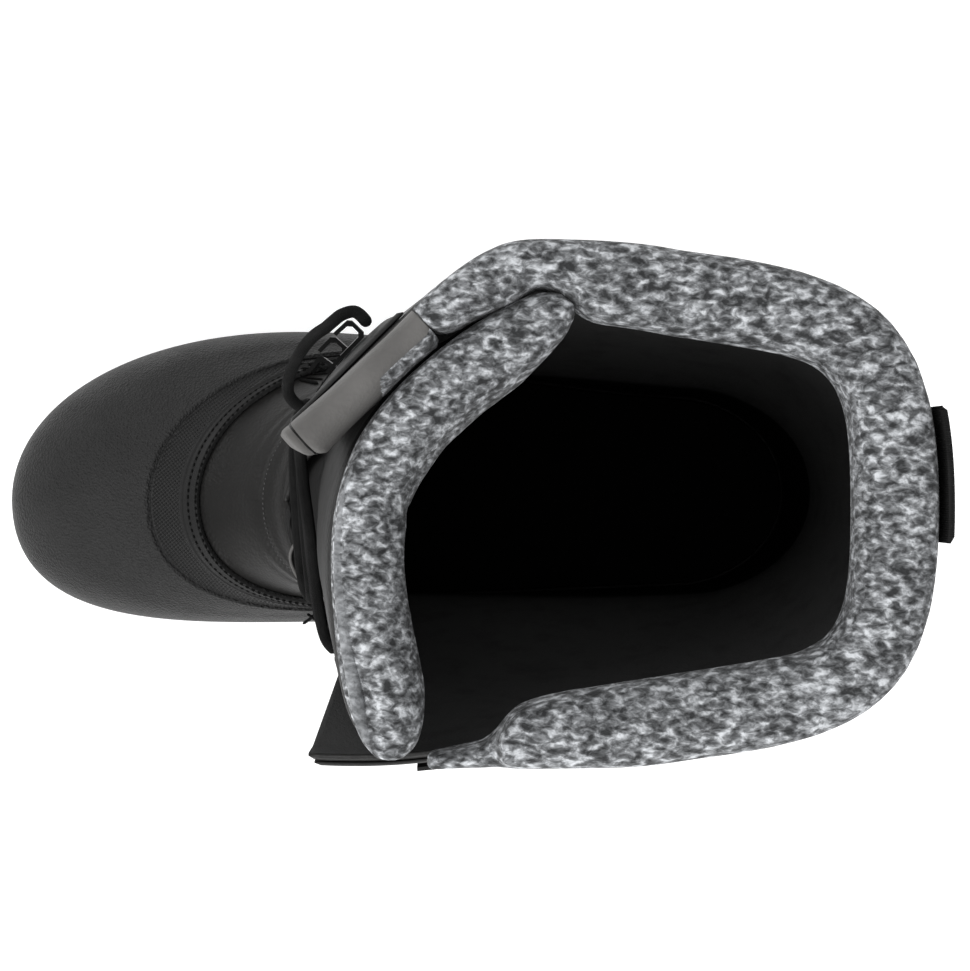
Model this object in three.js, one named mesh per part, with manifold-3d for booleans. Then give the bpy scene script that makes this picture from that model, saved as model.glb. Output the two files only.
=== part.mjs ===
// A right snow boot: lugged outsole, rubber foot shell, hollow leather upper with two shaft flaps, padded
// knit collar and tongue, lace hardware and laces. Millimetres, +Z up, toe towards -X, outer side of the
// foot towards +Y.
import * as THREE from 'three';
import { mergeVertices } from 'three/addons/utils/BufferGeometryUtils.js';
import Module from 'manifold-3d';

const wasm = await Module();
wasm.setup();

// Overall sizes.
const soleLength = 300;
const ballWidth = 104;
const bootHeight = 268;
const collarWidth = 142;
const shaftRear = 150;          // back of the collar, from the middle of the sole

// Walls and clearances.
const clearance = 0.3;          // gap between two pieces that touch
const seatGap = 0.5;            // gap over the outsole's curved top
const upperWall = 2.4;
const shellWall = 2.3;
const shellStep = 0.9;          // the shell is this much thicker below its step
const overlayWall = 1.5;
const insoleThickness = 5;

// Sole.
const foreSole = 20;            // outsole height under the ball, lugs included
const heelSole = 29;            // outsole height under the heel, lugs included
const toeSpring = 9;
const archRise = 7;
const lugDepth = 5.5;
const lugWidth = 9;
const lugPitch = 15;
const lugGroove = 7;            // bare strip down the middle of the tread
const soleMargin = 1.4;         // outsole edge beyond the shell
const ribDepth = 1.1;
const soleChamfer = 3.5;        // the tread's edge stands in by this much
const ribLean = 0.4;            // the ribs lean in by this much at their foot
const ribFoot = 0.3;            // share of the sole's side below the ribs
const ribTopDrop = 4.5;         // the ribs end this much below the sole's top
const lipDrop = 3;              // height of the smooth lip over the ribs
const lugInset = 1.5;           // lugs end this far inside the sole's edge
const lugRoot = 3;              // lugs reach this far into the tread
const lugDraft = 0.8;           // a lug is this much longer at its root, on each side
const lugOver = 12;             // lugs run this far past half the ball width before they are trimmed
const lugBelow = 5;             // the trimming body starts this much below the floor

// Insole.
const insoleGap = 0.5;          // further gap to the leather
const insoleUnderInset = 0.6;   // its underside stands in by this much
const insoleOverInset = 0.8;    // its top stands in by this much

// Collar, tongue and hardware.
const collarThickness = 20;
const collarProud = 1;          // the padding stands out beyond the leather
const facingThickness = 14;
const tongueThickness = 20;
const tabThickness = 2;
const laceDiameter = 3.8;
const ringWidth = 13;
const ringLength = 11;
const ringWire = 1.9;
const clipWidth = 5;
const clipPlate = 0.9;
const hookWidth = 8;
const hookLength = 10;
const hookRise = 6.5;
const hookPlate = 1.2;
const HOOK_ROCK = { lateral: -0.15, medial: 0.4 };     // the facings are crowned and hollow under the hooks

// Rows of numbers under named columns.
function table(columns, rows) {
  const names = columns.split(' ');
  return rows.map((row) => Object.fromEntries(names.map((name, i) => [name, row[i]])));
}

// The outside of the leather, as rings from the sole up. front and back are shares of the sole length from
// its middle; frontRise and backRise shares of the boot height; dip lowers a ring between its ends; the
// widths are shares of half the ball width, or of half the collar width for the upper rings through wide;
// axis moves the heel sideways.
const RINGS = table(
  'front frontRise back backRise dip ball lateral medial heel heelLateral heelMedial axis wide',
  [
    [-0.465, 0.076, 0.466, 0.076, 0, -0.215, 0.985, 0.875, 0.34, 0.68, 0.76, -0.05, 0],
    [-0.477, 0.148, 0.474, 0.15, 0, -0.205, 1.02, 0.9, 0.34, 0.72, 0.8, -0.05, 0],
    [-0.466, 0.212, 0.477, 0.222, 0.012, -0.195, 1, 0.885, 0.345, 0.71, 0.79, -0.05, 0],
    [-0.425, 0.26, 0.475, 0.285, 0.03, -0.17, 0.95, 0.85, 0.345, 0.69, 0.78, -0.05, 0],
    [-0.352, 0.294, 0.471, 0.335, 0.05, -0.135, 0.885, 0.81, 0.345, 0.68, 0.77, -0.05, 0],
    [-0.243, 0.335, 0.467, 0.375, 0.06, -0.08, 0.83, 0.77, 0.34, 0.68, 0.76, -0.05, 0],
    [-0.183, 0.375, 0.464, 0.44, 0.045, -0.03, 0.8, 0.77, 0.33, 0.71, 0.78, -0.06, 0],
    [-0.14, 0.415, 0.464, 0.51, 0.02, 0.02, 0.8, 0.82, 0.32, 0.75, 0.83, -0.07, 0.1],
    [-0.118, 0.53, 0.468, 0.6, 0, 0.05, 0.86, 0.93, 0.31, 0.8, 0.9, -0.08, 0.35],
    [-0.1, 0.68, 0.477, 0.72, 0, 0.09, 0.9, 0.99, 0.29, 0.83, 0.95, -0.08, 0.7],
    [-0.08, 0.835, 0.489, 0.845, 0, 0.115, 0.92, 1.03, 0.28, 0.865, 1.01, -0.08, 1],
    [-0.05, 1, 0.498, 1, 0, 0.13, 0.935, 1.06, 0.27, 0.885, 1.04, -0.085, 1],
  ],
);
const ballSkew = 0.06;          // the widest place lies this much further back on the outer side

// The two front edges of the open shaft. along is a share of the sole length from its middle, across a share
// of half the collar width, turn the direction in degrees in which the leather leaves the edge; reach and
// hold say how far the curve runs straight at the edge and at the side, as shares of its chord.
const THROAT = table(
  'ring lateralAlong lateralAcross lateralTurn lateralReach lateralHold '
  + 'medialAlong medialAcross medialTurn medialReach medialHold',
  [
    [7, -0.14, -0.1, 90, 0.27, 0.54, -0.14, -0.1, 90, 0.4, 0.48],
    [7.15, -0.128, 0.09, 82, 0.32, 0.5, -0.128, -0.3, 80, 0.38, 0.48],
    [8, -0.088, 0.22, 76, 0.34, 0.45, -0.076, -0.46, 62, 0.36, 0.45],
    [9, -0.094, 0.28, 62, 0.4, 0.35, -0.06, -0.78, 25, 0.4, 0.4],
    [10, -0.102, 0.22, 44, 0.55, 0.25, -0.079, -1.09, 4, 0.55, 0.25],
    [11, -0.103, 0.18, 41, 0.62, 0.2, -0.082, -1.12, 0, 0.6, 0.2],
  ],
);

const throatRing = THROAT[0].ring;
const shellRing = 5;            // the shell ends on this ring
const stepRing = 4.45;          // the shell's step
const flapRing = 10.25;         // top of the leather, under the collar
const collarRing = 11;

// Shared helpers.

function mix(a, b, t) {
  return a + (b - a) * t;
}

function smooth(a, b, x) {
  const t = Math.min(1, Math.max(0, (x - a) / (b - a)));
  return t * t * (3 - 2 * t);
}

// Reads a table at a place between its rows, on a smooth curve through them.
function readRings(v) {
  const last = RINGS.length - 1;
  const i = Math.min(last - 1, Math.max(0, Math.floor(v)));
  const t = v - i;
  const row = {};
  for (const key of Object.keys(RINGS[0])) {
    const p = [i - 1, i, i + 1, i + 2].map((k) => RINGS[Math.min(last, Math.max(0, k))][key]);
    const slopeA = (p[2] - p[0]) / 2;
    const slopeB = (p[3] - p[1]) / 2;
    const t2 = t * t;
    const t3 = t2 * t;
    row[key] = (2 * t3 - 3 * t2 + 1) * p[1] + (t3 - 2 * t2 + t) * slopeA
      + (3 * t2 - 2 * t3) * p[2] + (t3 - t2) * slopeB;
  }
  return row;
}

function readThroat(v) {
  const i = THROAT.findIndex((row) => row.ring >= v);
  if (i === -1) {
    return THROAT[THROAT.length - 1];
  }
  if (i === 0) {
    return THROAT[0];
  }
  const a = THROAT[i - 1];
  const b = THROAT[i];
  const t = (v - a.ring) / (b.ring - a.ring);
  const row = {};
  for (const key of Object.keys(a)) {
    row[key] = mix(a[key], b[key], t);
  }
  return row;
}

// Height of the outsole's top and underside above the floor, at a place along the foot.
const springStart = -0.3 * soleLength;
const springEnd = -0.5 * soleLength;

function springAt(x) {
  const t = Math.max(0, (springStart - x) / (springStart - springEnd));
  return toeSpring * t * t;
}

function soleTop(x) {
  return mix(foreSole, heelSole, smooth(-0.05 * soleLength, 0.24 * soleLength, x)) + springAt(x);
}

function soleUnder(x) {
  const front = smooth(-0.07 * soleLength, 0.04 * soleLength, x);
  const back = 1 - smooth(0.1 * soleLength, 0.19 * soleLength, x);
  return archRise * front * back + springAt(x);
}

// One point of the leather's outside. u runs from the outer front edge (0) round the heel (0.5) to the inner
// front edge (1), v counts the rings.
const BALL_STOP = 0.19;
const HEEL_STOP = 0.36;
const quarterLean = 0.05;       // how much the side turns in before the heel, as a share of its half width
const heelLean = 0.07;
const HEEL_FULL = { low: 0.52, high: 0.73 };    // fullness of the heel's curve, at the foot and at the collar
const heelSquare = 0.04;        // the curve is this much fuller across than along

function bezier(a, b, c, d, t) {
  const s = 1 - t;
  return s * s * s * a + 3 * s * s * t * b + 3 * s * t * t * c + t * t * t * d;
}

function ringPoint(u, v) {
  const row = readRings(v);
  const gap = readThroat(v);
  const side = u <= 0.5 ? 1 : -1;
  const w = u <= 0.5 ? u : 1 - u;
  const outer = side > 0;
  const half = mix(ballWidth, collarWidth, row.wide) / 2;
  const front = row.front * soleLength;
  const back = row.back * soleLength + (shaftRear - soleLength / 2) * row.wide;
  const open = v > throatRing;
  const end = {
    x: open ? (outer ? gap.lateralAlong : gap.medialAlong) * soleLength : front,
    y: (outer ? gap.lateralAcross : gap.medialAcross) * (open ? collarWidth / 2 : ballWidth / 2),
    turn: (outer ? gap.lateralTurn : gap.medialTurn) * Math.PI / 180,
  };
  const skew = outer ? ballSkew * (1 - row.wide) : 0;
  const ball = { x: (row.ball + skew) * soleLength, y: side * (outer ? row.lateral : row.medial) * half };
  const heel = { x: row.heel * soleLength, y: side * (outer ? row.heelLateral : row.heelMedial) * half };
  const rear = { x: back, y: row.axis * half };
  let x;
  let y;
  if (w <= BALL_STOP) {
    const t = w / BALL_STOP;
    const chord = Math.hypot(ball.x - end.x, ball.y - end.y);
    const out = (outer ? gap.lateralReach : gap.medialReach) * chord;
    const hold = (outer ? gap.lateralHold : gap.medialHold) * chord;
    x = bezier(end.x, end.x + out * Math.cos(end.turn), ball.x - hold, ball.x, t);
    y = bezier(end.y, end.y + side * out * Math.sin(end.turn), ball.y, ball.y, t);
  } else if (w <= HEEL_STOP) {
    const t = (w - BALL_STOP) / (HEEL_STOP - BALL_STOP);
    const third = (heel.x - ball.x) / 3;
    const lean = (rear.y - heel.y) * quarterLean;
    x = bezier(ball.x, ball.x + third, heel.x - third, heel.x, t);
    y = bezier(ball.y, ball.y, heel.y - lean, heel.y, t);
  } else {
    const t = (w - HEEL_STOP) / (0.5 - HEEL_STOP);
    const deep = rear.x - heel.x;
    const lean = (rear.y - heel.y) * heelLean;
    const full = mix(HEEL_FULL.low, HEEL_FULL.high, row.wide);
    x = bezier(heel.x, heel.x + deep * full, rear.x, rear.x, t);
    y = bezier(heel.y, heel.y + lean, mix(rear.y, heel.y, full + heelSquare), rear.y, t);
  }
  const along = Math.min(1, Math.max(0, (x - front) / (back - front)));
  const rise = mix(row.frontRise, row.backRise, along) - row.dip * 4 * along * (1 - along);
  const seat = soleTop(x) - RINGS[0].frontRise * bootHeight + seatGap;
  const z = rise * bootHeight + seat * (1 - smooth(0, shellRing, v));
  return new THREE.Vector3(x, y, z);
}

// The same point moved out along the surface's normal.
const PROBE = 1e-3;

function normalAt(u, v) {
  const u0 = Math.max(0, u - PROBE);
  const u1 = Math.min(1, u + PROBE);
  const v0 = Math.max(0, v - PROBE);
  const v1 = Math.min(RINGS.length - 1, v + PROBE);
  const across = ringPoint(u1, v).sub(ringPoint(u0, v));
  const up = ringPoint(u, v1).sub(ringPoint(u, v0));
  return up.cross(across).normalize();
}

function skin(u, v, offset) {
  const normal = normalAt(u, v);
  return ringPoint(u, v).addScaledVector(normal, offset);
}

// The lasting edge moved out level, so that a rim follows the top of the sole.
function lastingEdge(u, offset) {
  const normal = normalAt(u, 0).setZ(0).normalize();
  const p = ringPoint(u, 0).addScaledVector(normal, offset);
  return p.setZ(soleTop(p.x) + seatGap);
}

function isClosed(v) {
  return v <= throatRing;
}

// Meshes from triangle lists.
class Builder {
  constructor() {
    this.points = [];
  }

  triangle(a, b, c) {
    this.points.push(a, b, c);
  }

  quad(a, b, c, d) {
    this.triangle(a, b, c);
    this.triangle(a, c, d);
  }

  // Welds the corners, drops triangles that have shrunk to a line and turns the faces outwards.
  geometry() {
    const soup = new THREE.BufferGeometry();
    const flat = this.points.flatMap((p) => [p.x, p.y, p.z]);
    soup.setAttribute('position', new THREE.Float32BufferAttribute(flat, 3));
    const welded = mergeVertices(soup, 2e-3);
    const index = Array.from(welded.index.array);
    const kept = [];
    for (let i = 0; i < index.length; i += 3) {
      const [a, b, c] = [index[i], index[i + 1], index[i + 2]];
      if (a !== b && b !== c && a !== c) {
        kept.push(a, b, c);
      }
    }
    if (signedVolume(welded, kept) < 0) {
      for (let i = 0; i < kept.length; i += 3) {
        [kept[i + 1], kept[i + 2]] = [kept[i + 2], kept[i + 1]];
      }
    }
    welded.setIndex(kept);
    return welded;
  }
}

function signedVolume(geometry, index) {
  const position = geometry.getAttribute('position');
  const a = new THREE.Vector3();
  const b = new THREE.Vector3();
  const c = new THREE.Vector3();
  let sum = 0;
  for (let i = 0; i < index.length; i += 3) {
    a.fromBufferAttribute(position, index[i]);
    b.fromBufferAttribute(position, index[i + 1]);
    c.fromBufferAttribute(position, index[i + 2]);
    sum += a.dot(b.cross(c)) / 6;
  }
  return sum;
}

// A wall between two surfaces over a grid of u and v. Rows whose ring is closed join their first and last
// columns where wrap is set.
function wall(us, vs, inner, outer, wrap) {
  const grids = [inner, outer].map((surface) => vs.map((v, row) => {
    const line = us.map((u) => surface(u, v, row));
    if (wrap && isClosed(v)) {
      line[line.length - 1] = line[0];
    }
    return line;
  }));
  const builder = new Builder();
  const [inside, outside] = grids;
  const rows = vs.length - 1;
  const columns = us.length - 1;
  for (let i = 0; i < rows; i += 1) {
    for (let j = 0; j < columns; j += 1) {
      builder.quad(outside[i][j], outside[i + 1][j], outside[i + 1][j + 1], outside[i][j + 1]);
      builder.quad(inside[i][j], inside[i][j + 1], inside[i + 1][j + 1], inside[i + 1][j]);
    }
    const open = !wrap || !isClosed(vs[i + 1]);
    if (open) {
      builder.quad(outside[i][0], inside[i][0], inside[i + 1][0], outside[i + 1][0]);
      builder.quad(inside[i][columns], outside[i][columns], outside[i + 1][columns], inside[i + 1][columns]);
    }
  }
  for (let j = 0; j < columns; j += 1) {
    builder.quad(outside[0][j], outside[0][j + 1], inside[0][j + 1], inside[0][j]);
    builder.quad(outside[rows][j], inside[rows][j], inside[rows][j + 1], outside[rows][j + 1]);
  }
  return builder.geometry();
}

// A closed solid through sections of equal point count. Point 0 and the middle point are the tips of each
// section, so that its two sides are bridged straight across at both ends.
function loft(sections) {
  const builder = new Builder();
  const count = sections[0].length;
  for (let i = 0; i < sections.length - 1; i += 1) {
    for (let j = 0; j < count; j += 1) {
      const k = (j + 1) % count;
      builder.quad(sections[i][j], sections[i][k], sections[i + 1][k], sections[i + 1][j]);
    }
  }
  const first = sections[0];
  const last = sections[sections.length - 1];
  for (let j = 0; j < count / 2; j += 1) {
    const mirror = (count - j) % count;
    const nextMirror = count - j - 1;
    builder.quad(first[j], first[mirror], first[nextMirror], first[j + 1]);
    builder.quad(last[j], last[j + 1], last[nextMirror], last[mirror]);
  }
  return builder.geometry();
}

function steps(a, b, count) {
  return Array.from({ length: count + 1 }, (_, i) => mix(a, b, i / count));
}

// Columns spread over the ring's stretches.
function ringColumns(toe, middle, heel) {
  const half = [
    ...steps(0, BALL_STOP, toe),
    ...steps(BALL_STOP, HEEL_STOP, middle).slice(1),
    ...steps(HEEL_STOP, 0.5, heel).slice(1),
  ];
  return [...half, ...half.slice(0, -1).reverse().map((u) => 1 - u)];
}

// Solids for joining and cutting.
function toSolid(geometry) {
  const bare = geometry.clone();
  bare.deleteAttribute('normal');
  bare.deleteAttribute('uv');
  const welded = mergeVertices(bare, 1e-4);
  return new wasm.Manifold(new wasm.Mesh({
    numProp: 3,
    vertProperties: new Float32Array(welded.getAttribute('position').array),
    triVerts: new Uint32Array(welded.index.array),
  }));
}

function fromSolid(solid) {
  const mesh = solid.getMesh();
  const geometry = new THREE.BufferGeometry();
  geometry.setAttribute('position', new THREE.BufferAttribute(mesh.vertProperties, 3));
  geometry.setIndex(new THREE.BufferAttribute(mesh.triVerts, 1));
  return geometry;
}

// Outsole.

const soleOffset = clearance + shellWall + shellStep + soleMargin;

// Plan outline of the foot at the lasting edge, moved out, as a closed line from the toe over the outer side.
function footOutline(us, offset) {
  return us.slice(0, -1).map((u) => lastingEdge(u, offset));
}

function soleSection(us, offset, height) {
  return footOutline(us, offset).map((p) => new THREE.Vector3(p.x, p.y, height(p.x)));
}

function makeOutsole() {
  const us = ringColumns(12, 10, 9);
  const ribbed = (base, height) => footOutline(us, base).map((p, i) => {
    const depth = i % 2 === 0 ? ribDepth : 0;
    const q = lastingEdge(us[i], base - depth);
    return new THREE.Vector3(q.x, q.y, height(p.x));
  });
  const tread = (x) => soleUnder(x) + lugDepth;
  const shoulder = (x) => mix(tread(x), soleTop(x), ribFoot);
  const ribTop = (x) => soleTop(x) - ribTopDrop;
  const lipFoot = (x) => soleTop(x) - lipDrop;
  const plate = loft([
    soleSection(us, soleOffset - soleChamfer, tread),
    ribbed(soleOffset - ribLean, shoulder),
    ribbed(soleOffset, ribTop),
    soleSection(us, soleOffset, lipFoot),
    soleSection(us, soleOffset, soleTop),
  ]);
  const clipColumns = ringColumns(8, 6, 6);
  const clip = toSolid(loft([
    soleSection(clipColumns, soleOffset - lugInset, () => -lugBelow),
    soleSection(clipColumns, soleOffset - lugInset, () => foreSole),
  ]));
  let solid = toSolid(plate);
  for (const lug of makeLugs()) {
    solid = solid.add(lug.intersect(clip));
  }
  return fromSolid(solid);
}

// Chevron lugs across the forefoot and the heel, in two halves beside the middle groove. The fields' ends
// are shares of the sole length from its middle; sweep is how far back a lug's outer end lies.
const LUG_FIELDS = table('from to sweep', [
  [-0.47, -0.055, 10],
  [0.2, 0.47, -8],
]);

function makeLugs() {
  const lugs = [];
  const halfRun = 0.5 * ballWidth + lugOver;
  for (const field of LUG_FIELDS) {
    const from = field.from * soleLength;
    const to = field.to * soleLength;
    const count = Math.floor((to - from) / lugPitch);
    const pitch = (to - from) / count;
    for (let i = 0; i < count; i += 1) {
      const x = from + (i + 0.5) * pitch;
      for (const side of [1, -1]) {
        const near = side * lugGroove / 2;
        const far = side * halfRun;
        const drop = springAt(x - lugWidth / 2);
        const corners = [
          [x - lugWidth / 2, near], [x + lugWidth / 2, near],
          [x + lugWidth / 2 + field.sweep, far], [x - lugWidth / 2 + field.sweep, far],
        ];
        const outline = (z, grow) => corners.map(([cx, cy], k) => {
          const along = k === 0 || k === 3 ? -grow : grow;
          const across = k < 2 ? -side * grow : 0;
          return new THREE.Vector3(cx + along, cy + across, z(cx));
        });
        const foot = (cx) => Math.max(soleUnder(cx), Math.min(drop, springAt(cx)));
        const root = (cx) => foot(cx) + lugDepth + lugRoot;
        lugs.push(toSolid(loft([outline(foot, 0), outline(root, lugDraft)])));
      }
    }
  }
  return lugs;
}

// Insole.

function makeInsole() {
  const us = ringColumns(8, 6, 6);
  const inset = -upperWall - clearance - insoleGap;
  const under = (x) => soleTop(x) + seatGap;
  const over = (x) => under(x) + insoleThickness;
  return loft([
    soleSection(us, inset - insoleUnderInset, under),
    soleSection(us, inset, (x) => mix(under(x), over(x), 0.5)),
    soleSection(us, inset - insoleOverInset, over),
  ]);
}

// Upper, with the shaft's two flaps.

// The leather and the shell over it share their rings, so that their facets run side by side.
const stepSlope = 0.02;         // the step runs over this share of a ring on each side
const footRings = [0, 0.6, 1.2, 1.8, 2.4, 3, 3.6];

const facingRings = [7.5, 8, 8.6, 9.3, 10];
const shaftRings = [5.7, 6.4, throatRing, 7.15, ...facingRings];
const footColumns = ringColumns(7, 6, 7);

function makeUpper() {
  const us = footColumns;
  const vs = [...footRings, stepRing, shellRing, ...shaftRings, flapRing];
  const inside = (u, v) => (v === 0 ? lastingEdge(u, -upperWall) : skin(u, v, -upperWall));
  return wall(us, vs, inside, (u, v) => ringPoint(u, v), true);
}

function makeShell() {
  const us = footColumns;
  const vs = [...footRings, stepRing - stepSlope, stepRing + stepSlope, shellRing];
  const inside = (u, v) => (v === 0 ? lastingEdge(u, clearance) : skin(u, v, clearance));
  const outside = (u, v) => {
    const offset = clearance + shellWall + (v < stepRing ? shellStep : 0);
    return v === 0 ? lastingEdge(u, offset) : skin(u, v, offset);
  };
  return wall(us, vs, inside, outside, true);
}

// Padded rolls round the top. Each row gives a place along the ring and the padding's thickness there, as a
// share of the thickness named for the piece.
const COLLAR = table('u thick', [
  [0.078, 0.5], [0.08, 0.62], [0.1, 0.68], [0.13, 0.82], [0.155, 0.84], [0.178, 0.66], [0.2, 0.64],
  [0.225, 0.76], [0.24, 0.95], [0.256, 1.12], [0.5, 1.1], [0.7, 1.1], [0.77, 0.98], [0.8, 0.9], [0.83, 0.76],
  [0.842, 0.6], [0.852, 0.42], [0.862, 0.3], [0.928, 0.25], [0.93, 0.12],
]);
const COLLAR_BETWEEN = [
  0.115, 0.167, 0.29, 0.33, 0.37, 0.4, 0.425, 0.45, 0.475, 0.525, 0.55, 0.575, 0.6, 0.63, 0.66,
];
const FACING = table('u thick', [
  [0.001, 0.35], [0.0035, 0.7], [0.009, 0.9], [0.02, 0.86], [0.05, 0.84], [0.073, 0.86], [0.0765, 0.78],
]);
const rollSides = 12;
const rollSquare = 0.55;        // exponent of the section: below 1 it is squarer than an ellipse
const facingDrop = 6;           // the facing's padding ends this much below the collar's top

function readAlong(table, u, key) {
  const i = Math.max(1, table.findIndex((row) => row.u >= u - 1e-9));
  const a = table[i - 1];
  const b = table[i];
  return mix(a[key], b[key], (u - a.u) / (b.u - a.u));
}

const rollFoot = ringPoint(0.5, flapRing).z + clearance;

// A rounded section standing on the leather's top edge: point 0 is its top, the middle point its foot.
function rollSection(u, thickness, top) {
  const before = ringPoint(Math.max(0, u - PROBE), collarRing);
  const after = ringPoint(Math.min(1, u + PROBE), collarRing);
  const outward = new THREE.Vector3(before.y - after.y, after.x - before.x, 0).normalize();
  const base = ringPoint(u, collarRing);
  const points = [];
  for (let i = 0; i < rollSides; i += 1) {
    const angle = 2 * Math.PI * i / rollSides;
    const across = Math.sign(Math.sin(angle)) * Math.abs(Math.sin(angle)) ** rollSquare;
    const up = Math.sign(Math.cos(angle)) * Math.abs(Math.cos(angle)) ** rollSquare;
    const out = collarProud - thickness / 2 + across * thickness / 2;
    const p = base.clone().addScaledVector(outward, out);
    points.push(p.setZ(mix(rollFoot, top, (up + 1) / 2)));
  }
  return points;
}

function makeCollar() {
  const us = [...COLLAR.map((row) => row.u), ...COLLAR_BETWEEN].sort((a, b) => a - b);
  return loft(us.map((u) => {
    const share = readAlong(COLLAR, u, 'thick');
    const top = mix(rollFoot, bootHeight, smooth(0, 0.5, share));
    return rollSection(u, collarThickness * share, top);
  }));
}

function makeFacing() {
  return loft(FACING.map((row) => {
    const top = mix(rollFoot, bootHeight - facingDrop, row.thick);
    return rollSection(row.u, facingThickness * row.thick, top);
  }));
}

// Tongue, as level sections. Every section is a band of even thickness along one curve from the outer end
// (a) over the front (b, c) to the inner end (d): x as a share of the sole length, y of half the collar
// width.
const TONGUE = table('rise ax ay bx by cx cy dx dy thick', [
  [0.375, -0.11, 0.14, -0.171, 0.05, -0.171, -0.24, -0.11, -0.32, 0.25],
  [0.4, -0.06, 0.26, -0.118, 0.14, -0.118, -0.24, -0.06, -0.38, 0.3],
  [0.5, -0.015, 0.4, -0.098, 0.2, -0.098, -0.34, -0.015, -0.54, 0.36],
  [0.6, 0.01, 0.48, -0.09, 0.24, -0.096, -0.36, -0.006, -0.66, 0.42],
  [0.72, 0.064, 0.55, -0.07, 0.26, -0.092, -0.38, -0.004, -0.8, 0.6],
  [0.84, 0.124, 0.61, -0.06, 0.2, -0.06, -0.31, 0, -0.94, 0.85],
  [0.94, 0.158, 0.655, -0.07, 0.125, -0.024, -0.255, 0.003, -1.025, 1.02],
  [0.975, 0.161, 0.66, -0.07, 0.12, -0.021, -0.25, 0.002, -1.03, 0.92],
  [0.99, 0.159, 0.65, -0.066, 0.12, -0.02, -0.25, 0.003, -1.015, 0.55],
]);
const TONGUE_ENDS = [0, 0.012, 0.04, 0.1];
const tongueBlunt = 12;         // exponent of the ends' rounding: the higher, the blunter

function makeTongue() {
  const inner = TONGUE_ENDS[TONGUE_ENDS.length - 1];
  const middle = steps(inner, 1 - inner, 7).slice(1, -1);
  const stops = [...TONGUE_ENDS, ...middle, ...TONGUE_ENDS.map((t) => 1 - t).reverse()];
  return loft(TONGUE.map((row) => {
    const half = tongueThickness * row.thick / 2;
    const across = collarWidth / 2;
    const at = (t) => new THREE.Vector3(
      bezier(row.ax, row.bx, row.cx, row.dx, t) * soleLength,
      bezier(row.ay, row.by, row.cy, row.dy, t) * across,
      row.rise * bootHeight,
    );
    const side = (t, sign) => {
      const along = at(Math.min(1, t + PROBE)).sub(at(Math.max(0, t - PROBE))).normalize();
      const taper = Math.sqrt(Math.max(0, 1 - Math.abs(2 * t - 1) ** tongueBlunt));
      return at(t).add(new THREE.Vector3(along.y, -along.x, 0).multiplyScalar(sign * half * taper));
    };
    const front = stops.map((t) => side(t, 1));
    const rear = stops.slice(1, -1).map((t) => side(t, -1)).reverse();
    return [...front, ...rear];
  }));
}

// Strips on the leather.

function overlay(us, vs, offset, thickness) {
  return wall(us, vs, (u, v) => skin(u, v, offset), (u, v) => skin(u, v, offset + thickness), false);
}

const overlayTop = flapRing - 0.05;
const frontSeam = 0.003;        // the facing strips start this far from the front edges
const EYESTAY_COLUMNS = { lateral: 3, medial: 4 };

function makeEyestay(side) {
  const count = side > 0 ? EYESTAY_COLUMNS.lateral : EYESTAY_COLUMNS.medial;
  const ws = [frontSeam, ...footColumns.slice(1, count + 1)];
  const us = ws.map((w) => (side > 0 ? w : 1 - w)).sort((a, b) => a - b);
  return overlay(us, [...facingRings, overlayTop], clearance, overlayWall);
}

function makeBackstay() {
  const middle = (footColumns.length - 1) / 2;
  const us = footColumns.slice(middle - 1, middle + 2);
  return overlay(us, [...shaftRings, overlayTop], clearance, overlayWall);
}

const TAB = { from: 0.472, to: 0.509, top: 10.85, low: 9.35 };

function makeTab() {
  const offset = Math.max(collarProud, clearance + overlayWall) + seatGap;
  return overlay(steps(TAB.from, TAB.to, 4), steps(TAB.low, TAB.top, 4), offset, tabThickness);
}

// Lace hardware stands on the facings. A frame's z is the leather's normal, its y points up along the flap.
function frameAt(u, v, lift) {
  const normal = normalAt(u, v);
  const side = u < 0.5 ? 1 : -1;
  const along = ringPoint(u, v).sub(ringPoint(u + side * PROBE, v)).normalize();
  const up = new THREE.Vector3().crossVectors(normal, along).normalize();
  const matrix = new THREE.Matrix4().makeBasis(along, up, normal);
  return matrix.setPosition(ringPoint(u, v).addScaledVector(normal, lift));
}

function profile(points, width) {
  const shape = new THREE.Shape(points.map(([x, y]) => new THREE.Vector2(x, y)));
  const geometry = new THREE.ExtrudeGeometry(shape, { depth: width, bevelEnabled: false });
  return geometry.translate(0, 0, -width / 2).rotateX(Math.PI / 2);
}

const hardwareLift = clearance + overlayWall + seatGap;

// Lace ring: an oval wire frame lying on the facing.
function makeRing() {
  const oval = (grow, target) => {
    for (let i = 0; i < 12; i += 1) {
      const angle = 2 * Math.PI * i / 12;
      const x = Math.cos(angle) * (ringLength / 2 - grow);
      const y = Math.sin(angle) * (ringWidth / 2 - grow);
      if (i === 0) {
        target.moveTo(x, y);
      } else {
        target.lineTo(x, y);
      }
    }
    target.closePath();
    return target;
  };
  const shape = oval(0, new THREE.Shape());
  shape.holes.push(oval(ringWire, new THREE.Path()));
  return new THREE.ExtrudeGeometry(shape, { depth: ringWire, bevelEnabled: false });
}

// Clip that holds the ring down: a strap over its rear wire.
const clipFoot = 4.5;
const clipBow = 0.4;            // the wire curves under the strap
const clipHem = 0.6;            // the strap's free edge stands off the facing

function makeClip() {
  const wire = ringLength / 2 - ringWire / 2;
  const inner = ringWire / 2 + clearance + clipBow;
  const low = ringWire + clearance;
  const near = -wire + inner;
  const far = -wire - inner;
  return profile([
    [far - clipFoot, 0], [far, 0], [far, low], [near, low], [near, clipHem],
    [near + clipPlate, clipHem], [near + clipPlate, low + clipPlate],
    [far - clipPlate, low + clipPlate], [far - clipPlate, clipPlate],
    [far - clipFoot, clipPlate],
  ], clipWidth);
}

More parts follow.
